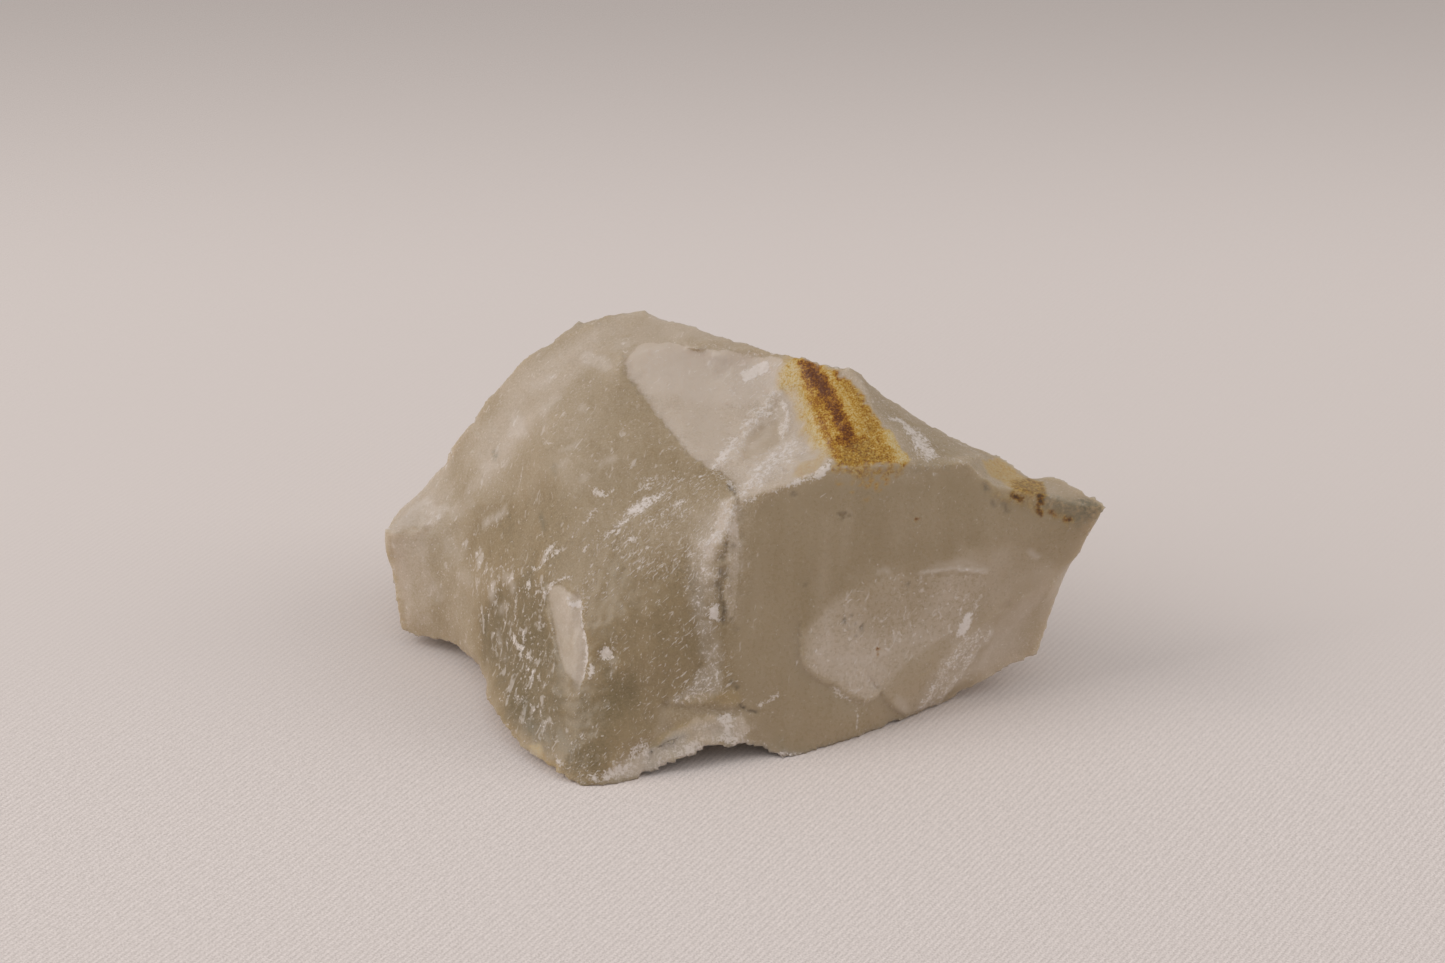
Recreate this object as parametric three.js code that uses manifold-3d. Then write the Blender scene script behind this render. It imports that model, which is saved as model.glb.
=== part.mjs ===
// A hand specimen of massive aragonite: one broken lump, milky and faintly see-through.
//
// The lump is laid out as a closed net of flat fracture faces between named corners. The net is
// cut into small triangles, its soft folds are eased, every face gets its own swell and grain,
// shell-shaped flakes are struck off, and the underside is cut flat where the stone rests.
// Millimetres. +X to the right along the stone, +Y to its back, +Z up.

import * as THREE from 'three';
import Module from 'manifold-3d';
import { ImprovedNoise } from 'three/addons/math/ImprovedNoise.js';
import { TessellateModifier } from 'three/addons/modifiers/TessellateModifier.js';
import { mergeVertices } from 'three/addons/utils/BufferGeometryUtils.js';

// ---- driving dimensions --------------------------------------------------------------------

const TRIANGLE_EDGE = 2.8; // longest edge of the skin's triangles
const SPLIT_ROUNDS = 24; // more than enough halvings for the longest face
const WELD = 1e-3; // corners closer than this are one corner
const EASE_STEP = 0.5; // share of the way to the neighbours' mean in one round of smoothing
const SWAP_GAIN = 0.05; // radians by which an edge has to be thin before it is swapped
const SWAP_FLATNESS = 0.5; // least cosine between a swapped pair's normals and the old ones
const RIM_ROUNDS = 3; // how far the bends of a sharp rim are rounded
const RIM_STEP = 0.22;
const SWELL_REACH = 9; // distance from a rim at which a face has its full swell
const WANDER = { size: 11, depth: 0.3 }; // slow waviness of rims and faces
const JAG = { size: 3.4, depth: 0.22 }; // teeth along a broken rim
const FLAKE_FACET = 2.6; // size of the facets of a flake's dish
const FLAKE_FEWEST = { out: 3, around: 10 }; // facets of the smallest dish
const FLAKE_LIP = 1.5; // the cutter reaches this many radii, to clear the skin
const FINE = { share: 0.45, finer: 2.1 }; // the grain's second, finer octave
const SEEDS = { wander: 3.3, jag: 71.9, perAxis: 17.3, perKind: 11.1, fine: 5.7 }; // noise patterns
const SOLE_DEPTH = -0.5; // the sole lies this far under the cut that makes it flat
const GROUND = { span: 200, depth: 20 }; // the slab that cuts the sole flat

// Named corners, [x, y, z], measured from a point on the ground 15 mm to the right of the toe.
const CORNERS = {
  // lower rim, from the toe round the left end
  toe: [-15, 0, -0.3],
  toeLeft: [-19.5, 3, 1],
  keelLow: [-23, 7, 1.5],
  keel: [-26, 11, 2.5],
  waist: [-27.5, 22, 2],
  blockHeel: [-30, 28.5, 2],
  blockToe: [-37.8, 33.5, 1.5],
  blockBack: [-36, 45, 4],
  // lower rim, along the back
  heelBack: [-28, 51, 4],
  backFootA: [-13, 55, 5],
  backFootB: [6, 51.5, 4.5],
  backFootC: [22, 42.5, 4.5],
  backFootD: [33, 32, 5],
  // lower rim, from the right end back to the toe
  rightHeel: [36, 23, 4],
  rightUnder: [30, 20.5, 2.5],
  footD: [27, 20, 0.4],
  footC: [20, 14, -0.1],
  footB: [15.5, 11, -0.2],
  footA: [7, 6, -0.3],
  archRight: [4.5, 6.5, 0.5],
  archTop: [0, 5, 2.5],
  archLeft: [-8, 2, 0],
  // the block that juts out at the left end
  blockNose: [-39.5, 36, 13.5],
  blockChin: [-39.8, 35, 8],
  blockBrow: [-34, 34.5, 14.5],
  blockBrowHigh: [-31.5, 36, 16.5],
  blockFarNose: [-38, 42, 13.5],
  blockFarTop: [-35.5, 44, 15],
  // skyline, from the left end over the peak to the tip
  browLow: [-33, 43, 19],
  browMid: [-28, 43, 26.5],
  browHigh: [-23.5, 44.5, 31.5],
  browTop: [-20.5, 45, 33.5],
  peakLeft: [-17, 46, 35],
  peak: [-9.5, 45, 38.4],
  peakRight: [-3.5, 41, 37.5],
  saddle: [5.5, 35.5, 36.3],
  bandLeft: [7.5, 34, 36.7],
  band: [11, 31, 38],
  bandRight: [14, 30, 37.4],
  slopeTop: [16, 31, 35],
  slopeMid: [22.5, 30.5, 29.8],
  slopeLow: [30, 29.5, 26.8],
  notch: [35, 26.5, 25.4],
  tipTop: [38.5, 27, 25.4],
  tip: [43, 22, 23.5],
  // the broad west face and the toe face
  domeLeft: [-13.5, 39, 35.5],
  westHigh: [-18.5, 30, 29.5],
  westMid: [-25, 31, 20],
  westBlock: [-29, 29, 12],
  westLow: [-25.5, 22, 6.5],
  keelHigh: [-22.5, 10, 4.5],
  foldHigh: [-11.5, 18, 24.5],
  foldMid: [-18.5, 14.5, 18],
  foldLow: [-15.5, 5, 9.5],
  // the bench in front of the peak
  benchTop: [-11.5, 37, 35.5],
  benchLeft: [-8, 30, 32],
  benchStep: [-2, 22, 29],
  benchRight: [-3.5, 36.5, 37],
  stepRight: [1, 18.5, 28.5],
  // the front ridge and the ledge at its foot
  ridgeTop: [1.5, 15.5, 28],
  ridgeMid: [-0.5, 12, 22],
  ridgeLow: [0, 9.5, 15],
  bevelTop: [3.8, 16, 28.3],
  bevelLow: [1.5, 10, 15.2],
  ledgeUp: [-9.5, 2.5, 4.5],
  ledgeLeft: [-6, 5, 7.5],
  ledgeRight: [2, 6.5, 6],
  // the top rim of the south face
  rimLobe: [8, 16.5, 29.5],
  rimBandLeft: [12.5, 18, 30.5],
  rimBandRight: [20.5, 19.5, 30],
  rimMid: [24.3, 21, 29.5],
  rimPocketLeft: [27, 21.5, 29.3],
  rimPocket: [30, 20.5, 27],
  rimTip: [36, 21, 25.5],
  // the right end, which overhangs
  rightTop: [40.5, 22.5, 17.5],
  rightMid: [38, 23.5, 11],
  rightLow: [37, 24, 6],
  scarEnd: [30, 18, 8],
  // the back
  bump: [-17, 52, 33],
  backHighA: [-6, 53, 25],
  backHighB: [10, 47, 21],
  backHighC: [26, 38, 17],
  backHighD: [37, 30, 15],
  backMidA: [-31, 50, 13],
  backMidB: [-20, 56, 20],
  backMidC: [-3, 56, 16],
  backMidD: [13, 50, 13],
  backMidE: [28, 38, 10],
  backMidF: [39, 27.5, 12],
  // the sole: the flat patch that the stone rests on
  soleToe: [-15.5, 3.5, SOLE_DEPTH],
  soleKeel: [-19.5, 13, SOLE_DEPTH],
  soleWaist: [-22.5, 24, SOLE_DEPTH],
  soleHeel: [-20, 33, SOLE_DEPTH],
  soleBackA: [-11, 39, SOLE_DEPTH],
  soleBackB: [2, 38, SOLE_DEPTH],
  soleBackC: [13, 33, SOLE_DEPTH],
  soleRight: [21, 26, SOLE_DEPTH],
  soleFootC: [22, 19, SOLE_DEPTH],
  soleFootB: [14, 12.5, SOLE_DEPTH],
  soleFootA: [8, 8.5, SOLE_DEPTH],
  soleArchRight: [2, 13, SOLE_DEPTH],
  soleArchLeft: [-7, 10, SOLE_DEPTH],
  soleInner: [-11, 4.5, SOLE_DEPTH],
};

// Kinds of surface. A rim between two kinds is sharp, and faces of one kind meet in a soft fold.
// ease: rounds of smoothing. swell: how far the middle stands out (or in, below 0).
// grain: size and depth of the relief.
const SKINS = {
  west: { ease: 40, swell: 0.5, grain: { size: 5.5, depth: 0.3 } },
  block: { ease: 10, swell: 0.2, grain: { size: 5, depth: 0.2 } },
  ridge: { ease: 6, swell: -0.2, grain: { size: 2.5, depth: 0.2 } },
  south: { ease: 60, swell: 0.5, grain: { size: 9, depth: 0.12 } },
  ledge: { ease: 6, swell: 0.3, grain: { size: 3, depth: 0.35 } },
  undercut: { ease: 14, swell: 0.3, grain: { size: 6, depth: 0.2 } },
  bench: { ease: 10, swell: -0.6, grain: { size: 3.6, depth: 0.4 } },
  dome: { ease: 12, swell: 0.5, grain: { size: 5, depth: 0.2 } },
  band: { ease: 10, swell: 0.3, grain: { size: 2.8, depth: 0.35 } },
  slope: { ease: 12, swell: -0.4, grain: { size: 4, depth: 0.25 } },
  pocket: { ease: 10, swell: -1.1, grain: { size: 2.8, depth: 0.35 } },
  tip: { ease: 8, swell: -0.2, grain: { size: 4, depth: 0.15 } },
  end: { ease: 12, swell: -0.3, grain: { size: 5, depth: 0.3 } },
  backLeft: { ease: 14, swell: -0.9, grain: { size: 6, depth: 0.4 } },
  backMid: { ease: 16, swell: -1.2, grain: { size: 7, depth: 0.4 } },
  backRight: { ease: 16, swell: -0.8, grain: { size: 6, depth: 0.35 } },
  backLow: { ease: 12, swell: 0.5, grain: { size: 5, depth: 0.4 } },
  under: { ease: 10, swell: -0.3, grain: { size: 4, depth: 0.4 } },
  arch: { ease: 8, swell: -0.8, grain: { size: 3, depth: 0.4 } },
  sole: { ease: 12, swell: 0, grain: { size: 5, depth: 0.1 } },
};

// Fracture faces: the kind of surface, then the corners anticlockwise as seen from outside.
const FACES = [
  ['west', 'browHigh westHigh benchLeft benchTop domeLeft peak peakLeft browTop'],
  ['west', 'browHigh browMid westMid westHigh'],
  ['west', 'browMid browLow blockBrowHigh westMid'],
  ['west', 'blockBrowHigh blockBrow westBlock westMid'],
  ['west', 'blockBrow blockNose blockChin blockToe blockHeel westBlock'],
  ['west', 'westBlock blockHeel waist westLow'],
  ['west', 'westMid westBlock westLow foldMid'],
  ['west', 'westHigh westMid foldMid foldHigh'],
  ['west', 'westHigh foldHigh benchStep benchLeft'],
  ['west', 'westLow waist keel keelHigh'],
  ['west', 'westLow keelHigh foldLow foldMid'],
  ['west', 'keelHigh keel keelLow toeLeft toe foldLow'],
  ['west', 'foldHigh foldMid foldLow ledgeUp ledgeLeft ledgeRight ridgeLow ridgeMid ridgeTop '
    + 'stepRight benchStep'],
  ['west', 'foldLow toe ledgeUp'],
  ['block', 'blockNose blockBrow blockBrowHigh browLow blockFarTop blockFarNose'],
  ['dome', 'peak domeLeft benchTop benchRight saddle peakRight'],
  ['bench', 'benchTop benchLeft benchStep stepRight ridgeTop bevelTop rimLobe rimBandLeft '
    + 'bandLeft saddle benchRight'],
  ['band', 'bandLeft rimBandLeft rimBandRight bandRight band'],
  ['slope', 'bandRight rimBandRight rimMid rimPocketLeft slopeLow slopeMid slopeTop'],
  ['pocket', 'slopeLow rimPocketLeft rimPocket rimTip notch'],
  ['tip', 'notch rimTip tip tipTop'],
  ['ridge', 'ridgeTop ridgeMid ridgeLow bevelLow bevelTop'],
  ['ledge', 'toe archLeft archTop archRight ledgeRight ledgeLeft ledgeUp'],
  ['south', 'bevelTop bevelLow ridgeLow ledgeRight archRight footA footB footC footD scarEnd rightTop tip '
    + 'rimTip rimPocket rimPocketLeft rimMid rimBandRight rimBandLeft rimLobe'],
  ['undercut', 'scarEnd footD rightUnder rightHeel rightLow rightMid rightTop'],
  ['end', 'blockNose blockFarNose blockBack blockToe blockChin'],
  ['end', 'blockBack blockFarNose blockFarTop browLow backMidA'],
  ['backLeft', 'backMidA browLow browMid browHigh backMidB'],
  ['backLeft', 'browHigh browTop peakLeft bump backMidB'],
  ['backMid', 'bump peakLeft peak backHighA'],
  ['backMid', 'backMidB bump backHighA backMidC'],
  ['backMid', 'backHighA peak peakRight saddle backHighB'],
  ['backMid', 'backHighA backHighB backMidD backMidC'],
  ['backRight', 'backHighB saddle bandLeft band bandRight slopeTop backHighC'],
  ['backRight', 'backHighC slopeTop slopeMid slopeLow notch backHighD'],
  ['backRight', 'backHighD notch tipTop tip backMidF'],
  ['backRight', 'backHighB backHighC backMidE backMidD'],
  ['backRight', 'backHighC backHighD backMidF backMidE'],
  ['backLow', 'backMidF tip rightTop rightMid rightLow'],
  ['backLow', 'backMidF rightLow rightHeel backFootD'],
  ['backLow', 'blockBack backMidA heelBack'],
  ['backLow', 'backMidA backMidB backFootA heelBack'],
  ['backLow', 'backMidB backMidC backFootB backFootA'],
  ['backLow', 'backMidC backMidD backFootC backFootB'],
  ['backLow', 'backMidD backMidE backFootD backFootC'],
  ['backLow', 'backMidE backMidF backFootD'],
  ['under', 'toe toeLeft soleToe'],
  ['under', 'toeLeft keelLow keel soleKeel soleToe'],
  ['under', 'keel waist soleWaist soleKeel'],
  ['under', 'waist blockHeel soleHeel soleWaist'],
  ['under', 'blockHeel blockToe blockBack heelBack soleHeel'],
  ['under', 'heelBack backFootA soleBackA soleHeel'],
  ['under', 'backFootA backFootB soleBackB soleBackA'],
  ['under', 'backFootB backFootC soleBackC soleBackB'],
  ['under', 'backFootC backFootD soleRight soleBackC'],
  ['under', 'backFootD rightHeel rightUnder footD soleFootC soleRight'],
  ['under', 'footD footC soleFootB soleFootC'],
  ['under', 'footC footB footA soleFootA soleFootB'],
  ['arch', 'footA archRight soleArchRight soleFootA'],
  ['arch', 'archRight archTop soleArchLeft soleArchRight'],
  ['arch', 'archTop archLeft soleInner soleArchLeft'],
  ['arch', 'archLeft toe soleToe soleInner'],
  ['sole', 'soleToe soleKeel soleWaist soleHeel soleBackA soleBackB soleBackC soleRight soleFootC '
    + 'soleFootB soleFootA soleArchRight soleArchLeft soleInner'],
];

// Flakes struck off the skin, each a shallow dish.
// at: the dish's middle on the skin. out: the direction out of the stone there.
// along: the dish's long direction. stretch: its length over its width.
const FLAKES = [
  // the scar on the south face, in three overlapping dishes
  {
    at: [17.4, 12.5, 11.1], out: [0.4, -0.9, 0.12],
    along: [0.8, 0.4, 0.42], radius: 10.8, stretch: 1.2, depth: 1.4,
  },
  {
    at: [29.5, 18.4, 7], out: [0.55, -0.8, -0.2],
    along: [0.5, 0.35, 0.8], radius: 6.5, stretch: 1.3, depth: 1.1,
  },
  {
    at: [30.1, 18.2, 14.5], out: [0.34, -0.94, 0],
    along: [0.9, 0.3, 0.2], radius: 7.5, stretch: 1.3, depth: 0.7,
  },
  // the long chip on the west fold and a small one beside it
  {
    at: [-18.3, 12.2, 12.9], out: [-0.62, -0.6, 0.5],
    along: [0.25, -0.75, -0.65], radius: 2.5, stretch: 2.5, depth: 0.8,
  },
  {
    at: [-13, 8.1, 11.9], out: [-0.3, -0.8, 0.5],
    along: [0.3, -0.5, -0.8], radius: 1.2, stretch: 1.3, depth: 0.4,
  },
  // the pitted crack down the front ridge
  {
    at: [-0.1, 10.9, 19.4], out: [0.1, -0.9, 0.42],
    along: [0, 0.45, 0.9], radius: 0.9, stretch: 5, depth: 0.6,
  },
  // the steps of the bench
  {
    at: [-3.2, 30.5, 32.6], out: [0, -0.45, 0.89],
    along: [0.5, -0.8, -0.35], radius: 4, stretch: 1.6, depth: 0.5,
  },
  {
    at: [4.6, 27.5, 32], out: [-0.1, -0.35, 0.92],
    along: [0.4, -0.85, -0.3], radius: 3.6, stretch: 1.7, depth: 0.6,
  },
  // the back
  {
    at: [4, 45.5, 25], out: [0.4, 0.75, 0.5],
    along: [0.9, -0.4, 0], radius: 8.5, stretch: 1.4, depth: 1.1,
  },
  {
    at: [-13.5, 52.5, 25.5], out: [0.2, 0.87, 0.42],
    along: [0.8, 0, 0.6], radius: 8, stretch: 1.2, depth: 1.2,
  },
  {
    at: [-23, 51, 22], out: [-0.55, 0.8, 0.3],
    along: [0.5, 0.1, 0.8], radius: 7.5, stretch: 1.4, depth: 1.2,
  },
  {
    at: [22, 39.5, 17], out: [0.55, 0.72, 0.43],
    along: [0.8, -0.6, 0], radius: 8.5, stretch: 1.5, depth: 1.3,
  },
  {
    at: [-2.6, 55.3, 11], out: [0.2, 0.98, 0.05],
    along: [1, -0.2, 0], radius: 7, stretch: 1.6, depth: 1.2,
  },
  // the underside, below the back
  {
    at: [8, 47, 4], out: [0.1, 0.4, -0.9],
    along: [0.9, -0.4, 0], radius: 7, stretch: 1.4, depth: 1.1,
  },
];

// ---- the net of faces ----------------------------------------------------------------------

/** Newell's normal of a ring of points, which need not be flat. */
function ringNormal(ring) {
  const normal = new THREE.Vector3();
  ring.forEach((a, i) => {
    const b = ring[(i + 1) % ring.length];
    normal.x += (a.y - b.y) * (a.z + b.z);
    normal.y += (a.z - b.z) * (a.x + b.x);
    normal.z += (a.x - b.x) * (a.y + b.y);
  });
  return normal.normalize();
}

/** Triangles of one face, as a flat list of points. */
function faceTriangles(cornerNames) {
  const ring = cornerNames.split(' ').map((name) => new THREE.Vector3(...CORNERS[name]));
  const up = new THREE.Vector3(0, 0, 1);
  const toFlat = new THREE.Quaternion().setFromUnitVectors(ringNormal(ring), up);
  const flat = ring.map((p) => p.clone().applyQuaternion(toFlat)).map((p) => new THREE.Vector2(p.x, p.y));
  return THREE.ShapeUtils.triangulateShape(flat, []).flat().map((i) => ring[i]);
}

/** The whole skin as points, triangles and the kind of surface of each triangle. */
function buildSkin() {
  const splitter = new TessellateModifier(TRIANGLE_EDGE, SPLIT_ROUNDS);
  const coordinates = [];
  const kinds = [];
  for (const [kind, cornerNames] of FACES) {
    const face = new THREE.BufferGeometry().setFromPoints(faceTriangles(cornerNames));
    const positions = splitter.modify(face).getAttribute('position');
    coordinates.push(...positions.array);
    for (let t = 0; t < positions.count / 3; t += 1) kinds.push(kind);
  }
  const soup = new THREE.BufferGeometry();
  soup.setAttribute('position', new THREE.Float32BufferAttribute(coordinates, 3));
  const welded = mergeVertices(soup, WELD);
  const place = welded.getAttribute('position');
  const pointAt = (_, i) => new THREE.Vector3().fromBufferAttribute(place, i);
  const points = Array.from({ length: place.count }, pointAt);
  const index = Array.from(welded.index.array);
  const triangles = kinds.map((_, t) => index.slice(3 * t, 3 * t + 3));
  return { points, triangles, kinds };
}

/** For each point: its neighbours, the neighbours along rims, and the kinds of surface it is on. */
function surveySkin({ points, triangles, kinds }) {
  const survey = points.map(() => ({ around: new Set(), along: new Set(), kinds: new Set() }));
  const firstKind = new Map();
  triangles.forEach((triangle, t) => {
    triangle.forEach((a, corner) => {
      const b = triangle[(corner + 1) % 3];
      survey[a].around.add(b);
      survey[b].around.add(a);
      survey[a].kinds.add(kinds[t]);
      const edge = a < b ? `${a} ${b}` : `${b} ${a}`;
      if (!firstKind.has(edge)) firstKind.set(edge, kinds[t]);
      else if (firstKind.get(edge) !== kinds[t]) {
        survey[a].along.add(b);
        survey[b].along.add(a);
      }
    });
  });
  return survey;
}

/** The mean of some of the points. */
function meanOf(points, indices) {
  const sum = new THREE.Vector3();
  indices.forEach((i) => sum.add(points[i]));
  return sum.divideScalar(indices.size);
}

/** Rounds the bends of the rims, but not the corners where three kinds of surface meet. */
function easeRims({ points, triangles, kinds }) {
  const survey = surveySkin({ points, triangles, kinds });
  for (let round = 0; round < RIM_ROUNDS; round += 1) {
    const bends = (i) => survey[i].kinds.size === 2;
    const goals = points.map((p, i) => (bends(i) ? meanOf(points, survey[i].along) : p.clone()));
    points.forEach((p, i) => p.lerp(goals[i], RIM_STEP));
  }
}

/** Rounds the soft folds inside each kind of surface, and evens out the triangles. */
function easeFolds(skin) {
  const { points } = skin;
  const most = Math.max(...Object.values(SKINS).map((kind) => kind.ease));
  for (let round = 0; round < most; round += 1) {
    swapThinEdges(skin);
    const survey = surveySkin(skin);
    const moves = (s) => s.along.size === 0 && round < SKINS[[...s.kinds][0]].ease;
    const goals = points.map((p, i) => (moves(survey[i]) ? meanOf(points, survey[i].around) : p.clone()));
    points.forEach((p, i) => p.lerp(goals[i], EASE_STEP));
  }
}

/** The angle at corner c of the triangle a, b, c. */
function angleAt(c, a, b) {
  return a.clone().sub(c).angleTo(b.clone().sub(c));
}

/** The unit normal of the triangle a, b, c. */
function triangleNormal(a, b, c) {
  return b.clone().sub(a).cross(c.clone().sub(a)).normalize();
}

/** Swaps the shared edge of two triangles of one kind wherever that makes them less thin. */
function swapThinEdges({ points, triangles, kinds }) {
  const owners = new Map();
  triangles.forEach((triangle, t) => triangle.forEach((a, corner) => {
    owners.set(`${a} ${triangle[(corner + 1) % 3]}`, { t, far: triangle[(corner + 2) % 3] });
  }));
  const touched = new Set();
  for (const [edge, left] of owners) {
    const [a, b] = edge.split(' ').map(Number);
    const right = owners.get(`${b} ${a}`);
    if (a > b || kinds[left.t] !== kinds[right.t]) continue;
    if (touched.has(left.t) || touched.has(right.t)) continue;
    if (owners.has(`${left.far} ${right.far}`) || owners.has(`${right.far} ${left.far}`)) continue;
    const [pa, pb, pl, pr] = [a, b, left.far, right.far].map((i) => points[i]);
    if (angleAt(pl, pa, pb) + angleAt(pr, pa, pb) < Math.PI + SWAP_GAIN) continue;
    const before = triangleNormal(pa, pb, pl).add(triangleNormal(pb, pa, pr)).normalize();
    const after = [triangleNormal(pl, pr, pb), triangleNormal(pr, pl, pa)];
    if (after.some((n) => n.dot(before) < SWAP_FLATNESS)) continue;
    triangles[left.t] = [left.far, right.far, b];
    triangles[right.t] = [right.far, left.far, a];
    touched.add(left.t).add(right.t);
  }
}

/** The outward direction at each point, from the triangles around it. */
function outward({ points, triangles }) {
  const normals = points.map(() => new THREE.Vector3());
  for (const [a, b, c] of triangles) {
    const side = points[b].clone().sub(points[a]);
    const cross = side.cross(points[c].clone().sub(points[a]));
    [a, b, c].forEach((i) => normals[i].add(cross));
  }
  return normals.map((n) => n.normalize());
}

/** Distance of each point from the nearest rim, up to a reach. */
function rimDistance(points, survey, reach) {
  const rim = points.filter((_, i) => survey[i].along.size > 0);
  return points.map((p) => rim.reduce((least, q) => Math.min(least, p.distanceTo(q)), reach));
}

// ---- relief --------------------------------------------------------------------------------

const perlin = new ImprovedNoise();

/** Smooth noise of about -1 to 1 with bumps of the given size; each seed is another pattern. */
function noise(p, size, seed) {
  return 2 * perlin.noise(p.x / size + seed, p.y / size + 2 * seed, p.z / size + 3 * seed);
}

/** A vector of smooth noise. */
function noiseVector(p, { size, depth }, seed) {
  const [x, y, z] = [0, 1, 2].map((axis) => noise(p, size, seed + SEEDS.perAxis * axis));
  return new THREE.Vector3(x, y, z).multiplyScalar(depth);
}

/** Two octaves of relief along the surface's own direction. */
function grainHeight(p, { size, depth }, seed) {
  const coarse = noise(p, size, seed);
  const fine = noise(p, size / FINE.finer, seed + SEEDS.fine);
  return depth * (coarse + FINE.share * fine);
}

/** Swells each face, gives it its grain, and gives the rims teeth. */
function raiseRelief(skin) {
  const { points } = skin;
  const survey = surveySkin(skin);
  const normals = outward(skin);
  const distances = rimDistance(points, survey, SWELL_REACH);
  const names = Object.keys(SKINS);
  const moves = points.map((p, i) => {
    const kinds = [...survey[i].kinds];
    const nearness = 1 - distances[i] / SWELL_REACH;
    const rise = 1 - nearness * nearness;
    const heights = kinds.map((kind) => {
      const seed = SEEDS.perKind * names.indexOf(kind);
      return rise * SKINS[kind].swell + grainHeight(p, SKINS[kind].grain, seed);
    });
    const height = heights.reduce((sum, h) => sum + h, 0) / heights.length;
    const move = normals[i].clone().multiplyScalar(height);
    return survey[i].along.size > 0 ? move.add(noiseVector(p, JAG, SEEDS.jag)) : move;
  });
  points.forEach((p, i) => p.add(moves[i]));
}

/** Bends space a little, so that faces, rims and the outlines of flakes wander. */
function wander(geometry) {
  const place = geometry.getAttribute('position');
  const p = new THREE.Vector3();
  for (let i = 0; i < place.count; i += 1) {
    p.fromBufferAttribute(place, i);
    p.add(noiseVector(p, WANDER, SEEDS.wander));
    place.setXYZ(i, ...p.toArray());
  }
  return geometry;
}

// ---- cutting -------------------------------------------------------------------------------

const wasm = await Module();
wasm.setup();

/** A closed mesh of shared points as a solid. */
function toSolid(positions, index) {
  const mesh = new wasm.Mesh({
    numProp: 3, vertProperties: Float32Array.from(positions), triVerts: Uint32Array.from(index),
  });
  return new wasm.Manifold(mesh);
}

/** A closed geometry as a solid, without the empty triangles at the ends of a lathe's axis. */
function geometryToSolid(geometry) {
  const bare = geometry.clone().deleteAttribute('normal').deleteAttribute('uv');
  const welded = mergeVertices(bare, WELD);
  const index = [];
  for (let i = 0; i < welded.index.count; i += 3) {
    const triangle = welded.index.array.slice(i, i + 3);
    if (new Set(triangle).size === 3) index.push(...triangle);
  }
  return toSolid(welded.getAttribute('position').array, index);
}

/** The cutter of one flake: a dish below, closed by a lid above the skin. */
function flakeCutter({ at, out, along, radius, stretch, depth }) {
  const steps = Math.max(FLAKE_FEWEST.out, Math.round((radius * FLAKE_LIP) / FLAKE_FACET));
  const around = Math.max(FLAKE_FEWEST.around, Math.round((2 * Math.PI * radius) / FLAKE_FACET));
  const profile = [];
  for (let step = 0; step <= steps; step += 1) {
    const reach = FLAKE_LIP * (step / steps);
    profile.push(new THREE.Vector2(radius * reach, depth * (reach * reach - 1)));
  }
  profile.push(new THREE.Vector2(0, radius + 2 * depth));
  const geometry = new THREE.LatheGeometry(profile, around);
  const up = new THREE.Vector3(...out).normalize();
  const across = new THREE.Vector3(...along).cross(up).normalize();
  const ahead = up.clone().cross(across);
  const place = new THREE.Matrix4().makeBasis(ahead.multiplyScalar(stretch), up, across);
  return geometryToSolid(geometry.applyMatrix4(place.setPosition(...at)));
}

/** The geometry of a solid. */
function toGeometry(solid) {
  const mesh = solid.getMesh();
  const geometry = new THREE.BufferGeometry();
  geometry.setAttribute('position', new THREE.Float32BufferAttribute(mesh.vertProperties, 3));
  geometry.setIndex(Array.from(mesh.triVerts));
  return geometry;
}

/** Everything below the ground plane, as a slab. */
function groundSlab() {
  const slab = new THREE.BoxGeometry(GROUND.span, GROUND.span, GROUND.depth);
  slab.translate(0, 0, -GROUND.depth / 2);
  return geometryToSolid(slab);
}

// ---- the stone -----------------------------------------------------------------------------

function buildStone() {
  const skin = buildSkin();
  easeRims(skin);
  easeFolds(skin);
  raiseRelief(skin);
  const positions = skin.points.flatMap((p) => p.toArray());
  const rough = toSolid(positions, skin.triangles.flat());
  const flaked = FLAKES.reduce((solid, flake) => solid.subtract(flakeCutter(flake)), rough);
  const broken = geometryToSolid(wander(toGeometry(flaked)));
  const stone = toGeometry(broken.subtract(groundSlab()));
  stone.computeBoundingBox();
  const { min, max } = stone.boundingBox;
  stone.translate(-(min.x + max.x) / 2, -(min.y + max.y) / 2, -min.z);
  stone.computeVertexNormals();
  return stone;
}

const milkyAragonite = new THREE.MeshStandardMaterial({
  name: 'milky_aragonite', color: 0xa8977f, roughness: 0.45, metalness: 0,
});

const specimen = new THREE.Group();
const stone = new THREE.Mesh(buildStone(), milkyAragonite);
stone.name = 'stone';
specimen.add(stone);

export default specimen;
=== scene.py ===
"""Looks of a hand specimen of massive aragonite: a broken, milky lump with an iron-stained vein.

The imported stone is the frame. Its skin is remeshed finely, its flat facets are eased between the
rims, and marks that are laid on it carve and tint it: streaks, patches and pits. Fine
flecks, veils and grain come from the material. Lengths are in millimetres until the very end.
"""

import logging
import math
from dataclasses import asdict, dataclass, field
from enum import Enum
from itertools import product
from typing import ClassVar

import bpy
import numpy as np
from mathutils import Matrix, Vector
from mathutils.kdtree import KDTree


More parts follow.
